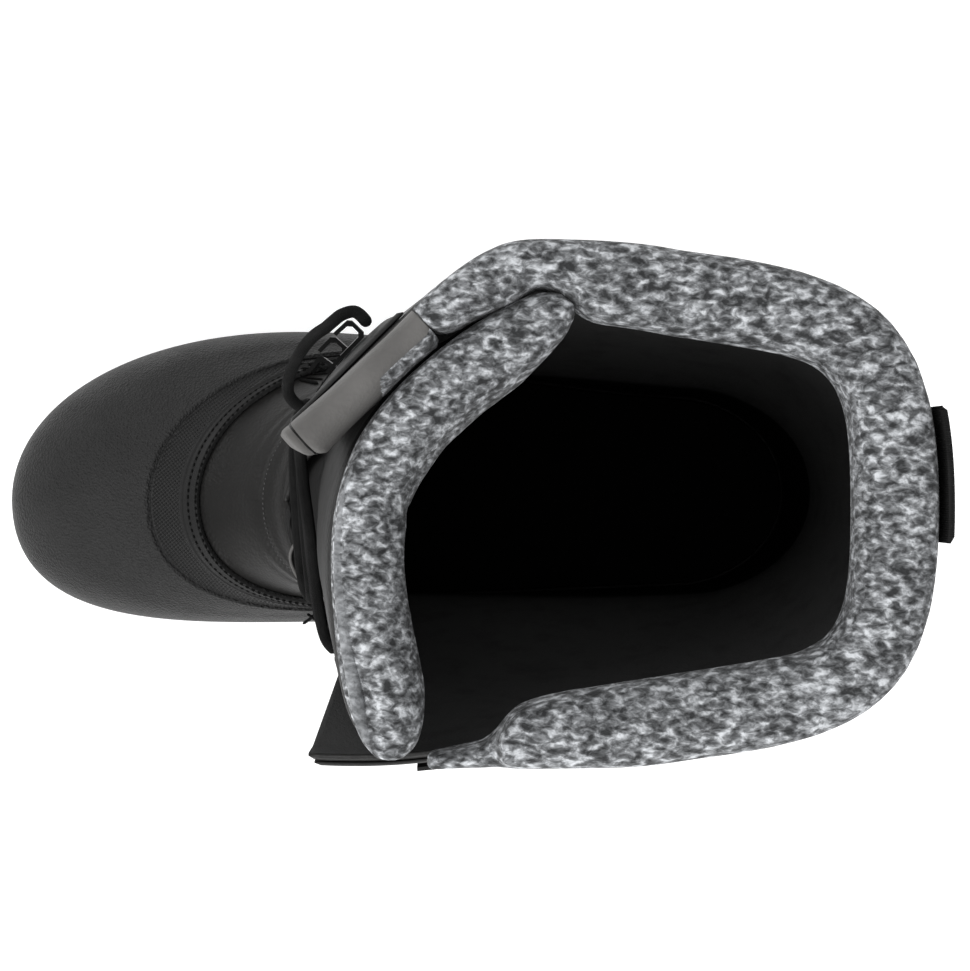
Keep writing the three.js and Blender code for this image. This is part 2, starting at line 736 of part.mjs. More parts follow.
// Lace hook: a bent plate, open towards the side.
const hookRound = 1;            // chamfer of the bends
const hookReach = 0.3;          // share of half the length that the upper arm runs back
const hookSlack = 0.8;          // the mouth is this much wider than the lace
const hookDroop = 0.4;          // the upper arm's end leans down

function makeHook() {
  const half = hookLength / 2;
  const mouth = laceDiameter + hookSlack;
  const tip = hookRise - hookDroop;
  const inner = -half + hookPlate;
  const end = half * hookReach;
  return profile([
    [half, 0], [half, hookPlate], [inner + hookRound, hookPlate], [inner, hookPlate + hookRound],
    [inner, mouth], [inner + hookRound, mouth + hookPlate], [end, tip], [end, tip + hookPlate],
    [-half + hookRound, mouth + 2 * hookPlate], [-half, mouth + hookPlate], [-half, hookRound],
    [-half + hookRound, 0],
  ], hookWidth);
}

// Places of the hardware: w counts from the front edge on either side, v is the ring.
const RINGS_AT = [
  { name: 'low', w: 0.022, v: 7.75 },
  { name: 'high', w: 0.022, v: 8.3 },
];
const HOOKS_AT = [
  { name: 'low', lateral: { w: 0.036, v: 8.7 }, medial: { w: 0.048, v: 8.7 } },
  { name: 'middle', lateral: { w: 0.046, v: 9.05 }, medial: { w: 0.06, v: 9.3 } },
  { name: 'top', lateral: { w: 0.0566, v: 9.4 }, medial: { w: 0.0866, v: 9.7 } },
];

// Round laces.
const laceSides = 8;

function tube(points, diameter, count) {
  const shape = new THREE.Shape();
  for (let i = 0; i < laceSides; i += 1) {
    const angle = 2 * Math.PI * (i + 0.5) / laceSides;
    const x = Math.cos(angle) * diameter / 2;
    const y = Math.sin(angle) * diameter / 2;
    if (i === 0) {
      shape.moveTo(x, y);
    } else {
      shape.lineTo(x, y);
    }
  }
  shape.closePath();
  const path = new THREE.CatmullRomCurve3(points, false, 'centripetal');
  return new THREE.ExtrudeGeometry(shape, { steps: count, bevelEnabled: false, extrudePath: path });
}

const laceRadius = laceDiameter / 2;
const laceGap = 1.4;            // a crossing clears the rings by this much
const laceLift = hardwareLift + ringWire + laceGap + laceRadius;
const laceBow = 1;            // a crossing bows out by this much at its middle
const edgePlace = 0.004;        // a crossing leaves the facing this far from its edge
const runSteps = 12;
const cordSteps = 30;
const LAST_RUN = { lateral: { w: 0.009, v: 8.45 }, medial: { w: 0.02, v: 8.5 } };

// One run of the lace over the throat, from a place on the outer facing to one on the inner facing.
function makeRun(from, to) {
  const a = skin(from.w, from.v, laceLift);
  const edgeA = skin(edgePlace, mix(from.v, to.v, 0.25), laceLift);
  const edgeB = skin(1 - edgePlace, mix(from.v, to.v, 0.75), laceLift);
  const b = skin(1 - to.w, to.v, laceLift);
  const middle = edgeA.clone().add(edgeB).multiplyScalar(0.5);
  middle.x -= laceBow;
  return toSolid(tube([a, edgeA, middle, edgeB, b], laceDiameter, runSteps));
}

function makeCrossings() {
  const [low, high] = RINGS_AT;
  const runs = [[low, low], [low, high], [high, low], [high, LAST_RUN.medial], [LAST_RUN.lateral, high]];
  return fromSolid(runs.map(([a, b]) => makeRun(a, b)).reduce((sum, run) => sum.add(run)));
}

// The two loose ends of the lace, from the last crossing to the top hooks. The outer one loops clear of the
// leather; the inner one lies along its facing, as places on the surface and heights over it.
const LACE_LATERAL = table('x y z', [
  [-30.9, 24.4, 162.3], [-33.6, 25.9, 163.4], [-35.5, 28.7, 165.8], [-35.3, 32.4, 170], [-33.2, 36.8, 177],
  [-30, 41.1, 185], [-26.4, 44.6, 191.4], [-24.2, 46, 194.6], [-21.6, 47.3, 198], [-19.2, 49, 200.8],
  [-16.5, 50.8, 202.6], [-12.6, 51.6, 204], [-9.6, 49.2, 204.6],
]);
const LACE_MEDIAL = table('w v lift', [
  [0.0215, 8.55, 6.6], [0.0185, 8.66, 6], [0.016, 8.82, 5.4], [0.018, 9, 5], [0.022, 9.2, 4.8],
  [0.03, 9.37, 4.7], [0.042, 9.55, 4.7], [0.055, 9.69, 4.8], [0.062, 9.76, 5.2],
]);

function makeCord(points) {
  return tube(points, laceDiameter, cordSteps);
}

// Assembly.

const boot = new THREE.Group();

function place(name, geometry, colour, roughness, metalness = 0) {
  const material = new THREE.MeshStandardMaterial({ color: colour, roughness, metalness });
  const mesh = new THREE.Mesh(geometry, material);
  mesh.name = name;
  boot.add(mesh);
  return mesh;
}

place('outsole', makeOutsole(), 0x1b1b1c, 0.85);
place('insole', makeInsole(), 0x2b2b2c, 0.95);
place('upper', makeUpper(), 0x242425, 0.55);
place('rubber_shell', makeShell(), 0x2e2e30, 0.7);
place('tongue', makeTongue(), 0x777c80, 0.95);
place('collar', makeCollar(), 0x777c80, 0.95);
place('collar_facing', makeFacing(), 0x4c4a49, 0.6);
place('lace_crossings', makeCrossings(), 0x0e0e0e, 0.9);
const lateralPath = LACE_LATERAL.map(({ x, y, z }) => new THREE.Vector3(x, y, z));
const medialPath = LACE_MEDIAL.map(({ w, v, lift }) => skin(1 - w, v, lift));
place('lace_end_lateral', makeCord(lateralPath), 0x0e0e0e, 0.9);
place('lace_end_medial', makeCord(medialPath), 0x0e0e0e, 0.9);
place('backstay', makeBackstay(), 0x1e1e1f, 0.6);
place('pull_tab', makeTab(), 0x161616, 0.9);
for (const [side, word] of [[1, 'lateral'], [-1, 'medial']]) {
  const across = (w) => (side > 0 ? w : 1 - w);
  place(`eyestay_${word}`, makeEyestay(side), 0x1f1f20, 0.55);
  for (const { name, w, v } of RINGS_AT) {
    const stand = frameAt(across(w), v, hardwareLift);
    place(`lace_ring_${word}_${name}`, makeRing(), 0x8d8d8f, 0.35, 0.9).applyMatrix4(stand);
    place(`ring_clip_${word}_${name}`, makeClip(), 0x202021, 0.6).applyMatrix4(stand);
  }
  for (const hook of HOOKS_AT) {
    const { w, v } = hook[word];
    const stand = frameAt(across(w), v, hardwareLift + HOOK_ROCK[word]);
    place(`lace_hook_${word}_${hook.name}`, makeHook(), 0x2a2a2b, 0.4, 0.8).applyMatrix4(stand);
  }
}

// The origin is the middle of the box's underside.
const bounds = new THREE.Box3().setFromObject(boot);
const centre = bounds.getCenter(new THREE.Vector3());
boot.position.set(-centre.x, -centre.y, -bounds.min.z);

export default boot;
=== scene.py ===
"""Looks of a right snow boot: pebbled rubber foot shell, smooth leather upper, padded knit collar and tongue,
black lace and hardware. The boot's own sizes are in millimetres, toe towards -X and outer side towards +Y."""

import math

import bmesh
import bpy
import numpy as np
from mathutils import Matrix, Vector


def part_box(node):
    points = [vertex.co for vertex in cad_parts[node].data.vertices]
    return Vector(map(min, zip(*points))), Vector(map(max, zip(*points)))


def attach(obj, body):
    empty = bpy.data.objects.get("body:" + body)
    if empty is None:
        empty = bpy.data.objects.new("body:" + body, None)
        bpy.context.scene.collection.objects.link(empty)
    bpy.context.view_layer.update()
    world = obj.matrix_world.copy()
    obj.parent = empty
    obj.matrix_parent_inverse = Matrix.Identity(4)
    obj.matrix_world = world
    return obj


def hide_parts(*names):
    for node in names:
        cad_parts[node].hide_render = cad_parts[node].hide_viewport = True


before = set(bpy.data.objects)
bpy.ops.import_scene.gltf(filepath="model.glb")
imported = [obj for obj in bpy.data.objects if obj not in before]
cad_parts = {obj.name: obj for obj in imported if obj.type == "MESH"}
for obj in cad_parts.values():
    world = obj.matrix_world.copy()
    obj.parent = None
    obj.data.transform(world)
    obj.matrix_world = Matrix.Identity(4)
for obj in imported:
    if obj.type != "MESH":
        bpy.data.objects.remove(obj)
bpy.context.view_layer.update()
scene = bpy.context.scene
rng = np.random.default_rng(7)
MM = 0.001

# Sizes, as in the part.
SOLE_LENGTH = 300
BALL_WIDTH = 104
BOOT_HEIGHT = 268
COLLAR_WIDTH = 142
CLEARANCE = 0.3
SEAT_GAP = 0.5
UPPER_WALL = 2.4
SHELL_WALL = 2.3
SHELL_STEP = 0.9
OVERLAY_WALL = 1.5
FORE_SOLE = 20
HEEL_SOLE = 29
TOE_SPRING = 9
SOLE_MARGIN = 1.4
LACE = 3.8
RING_WIRE = 1.9
LACE_GAP = 0.8
HARDWARE_LIFT = CLEARANCE + OVERLAY_WALL + SEAT_GAP
LACE_LIFT = HARDWARE_LIFT + RING_WIRE + LACE_GAP + LACE / 2

# front frontRise back backRise dip ball lateral medial heel heelLateral heelMedial axis wide
RINGS = np.array([
    [-0.465, 0.076, 0.466, 0.076, 0, -0.215, 0.985, 0.875, 0.34, 0.68, 0.76, -0.05, 0],
    [-0.477, 0.148, 0.474, 0.15, 0, -0.205, 1.02, 0.9, 0.34, 0.72, 0.8, -0.05, 0],
    [-0.466, 0.212, 0.477, 0.222, 0.012, -0.195, 1, 0.885, 0.345, 0.71, 0.79, -0.05, 0],
    [-0.425, 0.26, 0.475, 0.285, 0.03, -0.17, 0.95, 0.85, 0.345, 0.69, 0.78, -0.05, 0],
    [-0.352, 0.294, 0.471, 0.335, 0.05, -0.135, 0.885, 0.81, 0.345, 0.68, 0.77, -0.05, 0],
    [-0.243, 0.335, 0.467, 0.375, 0.06, -0.08, 0.83, 0.77, 0.34, 0.68, 0.76, -0.05, 0],
    [-0.183, 0.375, 0.464, 0.44, 0.045, -0.03, 0.8, 0.77, 0.33, 0.71, 0.78, -0.06, 0],
    [-0.14, 0.415, 0.464, 0.51, 0.02, 0.02, 0.8, 0.82, 0.32, 0.75, 0.83, -0.07, 0.1],
    [-0.118, 0.53, 0.468, 0.6, 0, 0.05, 0.86, 0.93, 0.31, 0.8, 0.9, -0.08, 0.35],
    [-0.1, 0.68, 0.477, 0.72, 0, 0.09, 0.9, 0.99, 0.29, 0.83, 0.95, -0.08, 0.7],
    [-0.08, 0.835, 0.489, 0.845, 0, 0.115, 0.92, 1.03, 0.28, 0.865, 1.01, -0.08, 1],
    [-0.05, 1, 0.498, 1, 0, 0.13, 0.935, 1.06, 0.27, 0.885, 1.04, -0.085, 1],
])
(FRONT, FRONT_RISE, BACK, BACK_RISE, DIP, BALL, LATERAL, MEDIAL,
 HEEL, HEEL_LATERAL, HEEL_MEDIAL, AXIS, WIDE) = range(13)
# ring, then along across turn reach hold of the outer and of the inner front edge
THROAT = np.array([
    [7, -0.14, -0.1, 90, 0.27, 0.54, -0.14, -0.1, 90, 0.4, 0.48],
    [7.15, -0.128, 0.09, 82, 0.32, 0.5, -0.128, -0.3, 80, 0.38, 0.48],
    [8, -0.088, 0.22, 76, 0.34, 0.45, -0.076, -0.46, 62, 0.36, 0.45],
    [9, -0.094, 0.28, 62, 0.4, 0.35, -0.06, -0.78, 25, 0.4, 0.4],
    [10, -0.102, 0.22, 44, 0.55, 0.25, -0.079, -1.09, 4, 0.55, 0.25],
    [11, -0.103, 0.18, 41, 0.62, 0.2, -0.082, -1.12, 0, 0.6, 0.2],
])
THROAT_RING = 7
SHELL_RING = 5
STEP_RING = 4.45
FLAP_RING = 10.25
COLLAR_RING = 11
BALL_STOP = 0.19
HEEL_STOP = 0.36
BALL_SKEW = 0.06
FULL_LOW = 0.52
FULL_HIGH = 0.73


# The boot's surface, for arrays of u and v.
def smooth(a, b, x):
    t = np.clip((x - a) / (b - a), 0, 1)
    return t * t * (3 - 2 * t)


def mix(a, b, t):
    return a + (b - a) * t


def bezier(a, b, c, d, t):
    s = 1 - t
    return s * s * s * a + 3 * s * s * t * b + 3 * s * t * t * c + t * t * t * d


def ring_row(v):
    last = len(RINGS) - 1
    i = np.clip(np.floor(v).astype(int), 0, last - 1)
    t = (v - i)[..., None]
    p0, p1, p2, p3 = (RINGS[np.clip(i + k, 0, last)] for k in (-1, 0, 1, 2))
    a, b = (p2 - p0) / 2, (p3 - p1) / 2
    return ((2 * t**3 - 3 * t**2 + 1) * p1 + (t**3 - 2 * t**2 + t) * a
            + (3 * t**2 - 2 * t**3) * p2 + (t**3 - t**2) * b)


def throat_row(v):
    return np.stack([np.interp(v, THROAT[:, 0], THROAT[:, k]) for k in range(1, 11)], axis=-1)


def spring_at(x):
    t = np.maximum(0, (-0.3 * SOLE_LENGTH - x) / (0.2 * SOLE_LENGTH))
    return TOE_SPRING * t * t


def sole_top(x):
    return mix(FORE_SOLE, HEEL_SOLE, smooth(-0.05 * SOLE_LENGTH, 0.24 * SOLE_LENGTH, x)) + spring_at(x)


def ring_point(u, v):
    u, v = np.broadcast_arrays(np.asarray(u, float), np.asarray(v, float))
    row, gap = ring_row(v), throat_row(v)
    outer = u <= 0.5
    side = np.where(outer, 1.0, -1.0)
    w = np.where(outer, u, 1 - u)
    wide = row[..., WIDE]
    half = mix(BALL_WIDTH, COLLAR_WIDTH, wide) / 2
    front = row[..., FRONT] * SOLE_LENGTH
    back = row[..., BACK] * SOLE_LENGTH
    opened = v > THROAT_RING
    pick = lambda k: np.where(outer, gap[..., k], gap[..., k + 5])
    end_x = np.where(opened, pick(0) * SOLE_LENGTH, front)
    end_y = pick(1) * np.where(opened, COLLAR_WIDTH, BALL_WIDTH) / 2
    turn = np.radians(pick(2))
    skew = np.where(outer, BALL_SKEW * (1 - wide), 0)
    ball_x = (row[..., BALL] + skew) * SOLE_LENGTH
    ball_y = side * np.where(outer, row[..., LATERAL], row[..., MEDIAL]) * half
    heel_x = row[..., HEEL] * SOLE_LENGTH
    heel_y = side * np.where(outer, row[..., HEEL_LATERAL], row[..., HEEL_MEDIAL]) * half
    rear_y = row[..., AXIS] * half
    chord = np.hypot(ball_x - end_x, ball_y - end_y)
    out, hold = pick(3) * chord, pick(4) * chord
    t = np.clip(w / BALL_STOP, 0, 1)
    x1 = bezier(end_x, end_x + out * np.cos(turn), ball_x - hold, ball_x, t)
    y1 = bezier(end_y, end_y + side * out * np.sin(turn), ball_y, ball_y, t)
    t = np.clip((w - BALL_STOP) / (HEEL_STOP - BALL_STOP), 0, 1)
    third = (heel_x - ball_x) / 3
    x2 = bezier(ball_x, ball_x + third, heel_x - third, heel_x, t)
    y2 = bezier(ball_y, ball_y, heel_y - (rear_y - heel_y) * 0.05, heel_y, t)
    t = np.clip((w - HEEL_STOP) / (0.5 - HEEL_STOP), 0, 1)
    full = mix(FULL_LOW, FULL_HIGH, wide)
    x3 = bezier(heel_x, heel_x + (back - heel_x) * full, back, back, t)
    y3 = bezier(heel_y, heel_y + (rear_y - heel_y) * 0.07, mix(rear_y, heel_y, full + 0.04), rear_y, t)
    x = np.where(w <= BALL_STOP, x1, np.where(w <= HEEL_STOP, x2, x3))
    y = np.where(w <= BALL_STOP, y1, np.where(w <= HEEL_STOP, y2, y3))
    along = np.clip((x - front) / (back - front), 0, 1)
    rise = mix(row[..., FRONT_RISE], row[..., BACK_RISE], along) - row[..., DIP] * 4 * along * (1 - along)
    seat = sole_top(x) - RINGS[0, FRONT_RISE] * BOOT_HEIGHT + SEAT_GAP
    z = rise * BOOT_HEIGHT + seat * (1 - smooth(0, 5, v))
    return np.stack([x, y, z], axis=-1)


PROBE = 1e-3


def unit(a):
    return a / np.maximum(np.linalg.norm(a, axis=-1, keepdims=True), 1e-12)


def normal_at(u, v):
    u, v = np.broadcast_arrays(np.asarray(u, float), np.asarray(v, float))
    across = ring_point(np.clip(u + PROBE, 0, 1), v) - ring_point(np.clip(u - PROBE, 0, 1), v)
    up = ring_point(u, np.clip(v + PROBE, 0, 11)) - ring_point(u, np.clip(v - PROBE, 0, 11))
    return unit(np.cross(up, across))


def skin(u, v, offset):
    u, v = np.broadcast_arrays(np.asarray(u, float), np.asarray(v, float))
    offset = np.broadcast_to(np.asarray(offset, float), u.shape)
    p = ring_point(u, v) + normal_at(u, v) * offset[..., None]
    level = normal_at(u, np.zeros_like(v)) * [1, 1, 0]
    edge = ring_point(u, np.zeros_like(v)) + unit(level) * offset[..., None]
    edge[..., 2] = sole_top(edge[..., 0]) + SEAT_GAP
    return np.where((v <= 0)[..., None], edge, p)


def steps(a, b, count):
    return list(np.linspace(a, b, count + 1))


def ring_columns(toe, middle, heel):
    half = (steps(0, BALL_STOP, toe) + steps(BALL_STOP, HEEL_STOP, middle)[1:]
            + steps(HEEL_STOP, 0.5, heel)[1:])
    return np.array(half + [1 - u for u in half[-2::-1]])


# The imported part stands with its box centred, so the surface is moved by as much.
sole_us = ring_columns(12, 10, 9)
sole_edge = skin(sole_us, np.zeros_like(sole_us), CLEARANCE + SHELL_WALL + SHELL_STEP + SOLE_MARGIN)
low, high = (np.array(corner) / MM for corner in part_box("outsole"))
SHIFT = (low + high) / 2 - (sole_edge.min(0) + sole_edge.max(0)) / 2
SHIFT[2] = 0


def place(points):
    return (np.asarray(points) + SHIFT) * MM


# The camera looks straight down, as the photograph does.
CAMERA_AT = (26.1, 0.0, 869)
CAMERA_LENS = 83.06
camera_data = bpy.data.cameras.new("camera")
camera_data.sensor_width = 36
camera_data.lens = CAMERA_LENS
camera = bpy.data.objects.new("camera", camera_data)
camera.location = place(CAMERA_AT)
scene.collection.objects.link(camera)
scene.camera = camera


# Meshes.
def make_object(name, points, faces, materials, indices=None, uvs=None):
    mesh = bpy.data.meshes.new(name)
    mesh.from_pydata([tuple(p) for p in points], [], [tuple(int(i) for i in f) for f in faces])
    if indices is not None:
        mesh.polygons.foreach_set("material_index", np.asarray(indices, dtype=np.int32))
    for m in materials:
        mesh.materials.append(m)
    if uvs is not None:
        layer = mesh.uv_layers.new(name="run")
        loops = np.zeros(len(mesh.loops), dtype=np.int32)
        mesh.loops.foreach_get("vertex_index", loops)
        layer.data.foreach_set("uv", np.asarray(uvs, dtype=np.float32)[loops].ravel())
    mesh.polygons.foreach_set("use_smooth", np.full(len(mesh.polygons), True))
    mesh.update()
    obj = bpy.data.objects.new(name, mesh)
    scene.collection.objects.link(obj)
    return obj


def weld(obj, distance=2e-6):
    bm = bmesh.new()
    bm.from_mesh(obj.data)
    bmesh.ops.remove_doubles(bm, verts=bm.verts, dist=distance)
    bmesh.ops.dissolve_degenerate(bm, edges=bm.edges, dist=distance / 2)
    bmesh.ops.recalc_face_normals(bm, faces=bm.faces)
    bm.to_mesh(obj.data)
    bm.free()
    return obj


def grid_faces(rows, columns, start=0, closed=False):
    i, j = np.meshgrid(np.arange(rows - 1), np.arange(columns if closed else columns - 1), indexing="ij")
    k = (j + 1) % columns
    a = start + i * columns
    b = a + columns
    return np.stack([a + j, b + j, b + k, a + k], axis=-1).reshape(-1, 4)


def arc(points, axis):
    """Running length along one axis of a grid of points."""
    step = np.linalg.norm(np.diff(points, axis=axis), axis=-1)
    pad = np.zeros_like(np.take(step, [0], axis=axis))
    return np.concatenate([pad, np.cumsum(step, axis=axis)], axis=axis)


def rounded_wall(name, us, vs, inner, outer, materials, wrap=False, round_at=0.0, pick=None):
    """A wall between two offsets of the surface. inner and outer take grids of u and v and give the offset.
    The outer face rounds down towards every open edge over round_at. pick gives each outer face's material
    from its u and v."""
    us, vs = np.asarray(us, float), np.asarray(vs, float)
    gu, gv = np.meshgrid(us, vs)
    base = ring_point(gu, gv)
    run_u, run_v = arc(base, 1), arc(base, 0)
    gap = run_v[-1:] - run_v
    if vs[0] > 0:
        gap = np.minimum(gap, run_v)
    side_gap = np.minimum(run_u, run_u[:, -1:] - run_u)
    if wrap:
        side_gap = np.where(gv > THROAT_RING, side_gap, np.inf)
    gap = np.minimum(gap, side_gap)
    low_offset, high_offset = inner(gu, gv), outer(gu, gv)
    if round_at > 0:
        t = np.clip(gap / round_at, 0, 1)
        high_offset = mix(low_offset, high_offset, 0.35 + 0.65 * np.sqrt(1 - (1 - t) ** 2))
    top, under = skin(gu, gv, high_offset), skin(gu, gv, low_offset)
    rows, columns = gu.shape
    count = rows * columns
    out_faces = grid_faces(rows, columns)
    in_faces = grid_faces(rows, columns, count)[:, ::-1]
    rims = []
    for row, flip in ((0, False), (rows - 1, True)):
        a = row * columns + np.arange(columns - 1)
        quad = np.stack([a, a + 1, a + 1 + count, a + count], axis=-1)
        rims.append(quad[:, ::-1] if flip else quad)
    for column, flip in ((0, True), (columns - 1, False)):
        keep = np.arange(rows - 1)
        if wrap:
            keep = keep[vs[1:] > THROAT_RING + 1e-6]
        a = keep * columns + column
        quad = np.stack([a, a + columns, a + columns + count, a + count], axis=-1)
        rims.append(quad if not flip else quad[:, ::-1])
    rim_faces = np.concatenate(rims)
    faces = np.concatenate([out_faces, in_faces, rim_faces])
    mid_u = (gu[:-1, :-1] + gu[1:, 1:]) / 2
    mid_v = (gv[:-1, :-1] + gv[1:, 1:]) / 2
    outs = pick(mid_u, mid_v).ravel() if pick else np.zeros(len(out_faces), int)
    last = len(materials) - 1
    rim_index = 0 if pick else last
    indices = np.concatenate([outs, np.full(len(in_faces), last), np.full(len(rim_faces), rim_index)])
    flat = np.stack([run_u - run_u[:, -1:] / 2, run_v], axis=-1).reshape(-1, 2) * MM
    points = place(np.concatenate([top.reshape(-1, 3), under.reshape(-1, 3)]))
    obj = make_object(name, points, faces, materials, indices, np.concatenate([flat, flat]))
    return weld(obj)


def spline(points, count):
    """Centripetal Catmull-Rom line through points, at even parameters."""
    p = np.asarray(points, float)
    p = np.concatenate([[2 * p[0] - p[1]], p, [2 * p[-1] - p[-2]]])
    out = []
    for s in np.linspace(0, len(points) - 1, count):
        i = min(int(s), len(points) - 2)
        a, b, c, d = p[i:i + 4]
        ka, kb, kc = (max(math.sqrt(np.linalg.norm(y - x)), 1e-6) for x, y in ((a, b), (b, c), (c, d)))
        m1 = (c - b) + kb * ((b - a) / ka - (c - a) / (ka + kb))
        m2 = (c - b) + kb * ((d - c) / kc - (d - b) / (kb + kc))
        t = s - i
        out.append((2 * t**3 - 3 * t**2 + 1) * b + (t**3 - 2 * t**2 + t) * m1
                   + (3 * t**2 - 2 * t**3) * c + (t**3 - t**2) * m2)
    return np.array(out)


def tube(path, radius, sides):
    """Points, faces and run coordinates of a round tube with domed ends. path is in the boot's sizes."""
    path = np.asarray(path, float)
    tangent = unit(np.gradient(path, axis=0))
    normal = np.cross(tangent[0], [0.3, 0.2, 1.0])
    frames = []
    for t in tangent:
        normal = unit(normal - t * np.dot(normal, t))
        frames.append(normal)
    frames = np.array(frames)
    binormal = np.cross(tangent, frames)
    angle = np.linspace(0, 2 * np.pi, sides, endpoint=False)
    radii = np.full(len(path), radius)
    run = arc(path, 0)
    dome = np.minimum(run, run[-1] - run)
    radii = radii * np.sqrt(np.clip(1 - (1 - np.clip(dome / radius, 0, 1)) ** 2, 0.04, 1))
    around_x, around_y = np.cos(angle)[None, :, None], np.sin(angle)[None, :, None]
    ring = around_x * frames[:, None] + around_y * binormal[:, None]
    points = path[:, None] + ring * radii[:, None, None]
    faces = [tuple(f) for f in grid_faces(len(path), sides, 0, True)]
    faces.append(tuple(range(sides))[::-1])
    faces.append(tuple((len(path) - 1) * sides + k for k in range(sides)))
    uv = np.stack(np.broadcast_arrays(run[:, None] * MM, angle[None, :] / (2 * np.pi)), axis=-1)
    return points.reshape(-1, 3), faces, uv.reshape(-1, 2)


def tube_object(name, paths, radius, material, sides=12):
    points, faces, uvs = [], [], []
    for path in paths:
        p, f, t = tube(path, radius, sides)
        start = sum(len(q) for q in points)
        points.append(p)
        uvs.append(t)
        faces += [tuple(k + start for k in face) for face in f]
    return make_object(name, place(np.concatenate(points)), faces, [material], None, np.concatenate(uvs))


# Materials.
def new_material(name, colour, roughness, metallic=0.0, specular=0.5):
    material = bpy.data.materials.new(name)
    material.use_nodes = True
    shader = material.node_tree.nodes["Principled BSDF"]
    shader.inputs["Base Color"].default_value = (*colour, 1)
    shader.inputs["Roughness"].default_value = roughness
    shader.inputs["Metallic"].default_value = metallic
    shader.inputs["Specular IOR Level"].default_value = specular
    material.diffuse_color = (*colour, 1)
    return material


class Shade:
    """Node building on one material."""

    def __init__(self, material):
        self.tree = material.node_tree
        self.shader = self.tree.nodes["Principled BSDF"]
        self.place = self.add("ShaderNodeTexCoord")

    def add(self, kind, **values):
        node = self.tree.nodes.new(kind)
        for key, value in values.items():
            setattr(node, key, value)
        return node

    def link(self, a, b):
        self.tree.links.new(a, b)

    def stretched(self, scale, source="Object", turn=(0, 0, 0)):
        node = self.add("ShaderNodeMapping")
        self.link(self.place.outputs[source], node.inputs["Vector"])
        node.inputs["Scale"].default_value = scale
        node.inputs["Rotation"].default_value = turn
        return node.outputs["Vector"]

    def noise(self, scale, detail=3, rough=0.5, distortion=0.0, vector=None):
        node = self.add("ShaderNodeTexNoise")
        node.inputs["Scale"].default_value = scale
        node.inputs["Detail"].default_value = detail
        node.inputs["Roughness"].default_value = rough
        node.inputs["Distortion"].default_value = distortion
        self.link(vector or self.place.outputs["Object"], node.inputs["Vector"])
        return node.outputs["Fac"]

    def cells(self, scale, vector=None):
        node = self.add("ShaderNodeTexVoronoi")
        node.inputs["Scale"].default_value = scale
        self.link(vector or self.place.outputs["Object"], node.inputs["Vector"])
        return node.outputs["Distance"]

    def wave(self, scale, vector, distortion=0.0, direction="X"):
        node = self.add("ShaderNodeTexWave", bands_direction=direction)
        node.inputs["Scale"].default_value = scale
        node.inputs["Distortion"].default_value = distortion
        node.inputs["Detail"].default_value = 1
        self.link(vector, node.inputs["Vector"])
        return node.outputs["Fac"]

    def ramp(self, value, stops):
        node = self.add("ShaderNodeValToRGB")
        ramp = node.color_ramp
        while len(ramp.elements) < len(stops):
            ramp.elements.new(0.5)
        for element, (at, colour) in zip(ramp.elements, stops):
            element.position = at
            element.color = colour if len(colour) == 4 else (*colour, 1)
        self.link(value, node.inputs["Fac"])
        return node.outputs["Color"]

    def math(self, operation, a, b):
        node = self.add("ShaderNodeMath", operation=operation)
        for socket, value in zip(node.inputs, (a, b)):
            if isinstance(value, (int, float)):
                socket.default_value = value
            else:
                self.link(value, socket)
        return node.outputs["Value"]

    def bump(self, height, distance, strength=1.0, before=None):
        node = self.add("ShaderNodeBump")
        node.inputs["Distance"].default_value = distance
        node.inputs["Strength"].default_value = strength
        self.link(height, node.inputs["Height"])
        if before is not None:
            self.link(before, node.inputs["Normal"])
        return node.outputs["Normal"]

    def colour(self, output):
        self.link(output, self.shader.inputs["Base Color"])

    def roughness(self, value, low, high):
        node = self.add("ShaderNodeMapRange")
        node.inputs["To Min"].default_value = low
        node.inputs["To Max"].default_value = high
        self.link(value, node.inputs["Value"])
        self.link(node.outputs["Result"], self.shader.inputs["Roughness"])

    def finish(self, normal):
        self.link(normal, self.shader.inputs["Normal"])


def grey(value, warm=0.0):
    return (value * (1 + warm), value, value * (1 - warm))


def tinted(shade, value, dark, light):
    shade.colour(shade.ramp(value, [(0.3, dark), (0.7, light)]))


KNURL_PITCH = 300               # wave texture scale of the diamond pattern
KNURL_TURN = 52


def rubber_material(name, base, grain, depth, roughness=0.62, knurl=False):
    material = new_material(name, grey(base), roughness, 0, 0.13)
    shade = Shade(material)
    tinted(shade, shade.noise(28, 4, 0.6), grey(base * 0.82), grey(base * 1.2))
    fine = shade.cells(grain)
    normal = shade.bump(fine, depth)
    if knurl:
        ridges = shade.wave(KNURL_PITCH, shade.stretched((1, 1, 1), turn=(0, 0, math.radians(KNURL_TURN))))
        cuts = shade.wave(KNURL_PITCH, shade.stretched((1, 1, 1), turn=(0, 0, math.radians(KNURL_TURN - 90))))
        lattice = shade.math("MULTIPLY", ridges, shade.math("ADD", cuts, 0.35))
        normal = shade.bump(lattice, 0.0005, before=normal)
    else:
        normal = shade.bump(shade.noise(grain * 0.45, 4, 0.6), depth * 0.8, before=normal)
    shade.roughness(shade.noise(90, 3), roughness - 0.08, roughness + 0.1)
    shade.finish(normal)
    return material


LEATHER_WARMTH = 0.03


def leather_material(name, base, roughness):
    tone = lambda share: grey(base * share, LEATHER_WARMTH)
    material = new_material(name, tone(1), roughness, 0, 0.16)
    shade = Shade(material)
    tinted(shade, shade.noise(35, 4, 0.55), tone(0.8), tone(1.22))
    normal = shade.bump(shade.cells(900), 0.00009)
    normal = shade.bump(shade.noise(210, 4, 0.6), 0.00022, before=normal)
    shade.roughness(shade.noise(120, 3), roughness - 0.07, roughness + 0.1)
    shade.finish(normal)
    return material


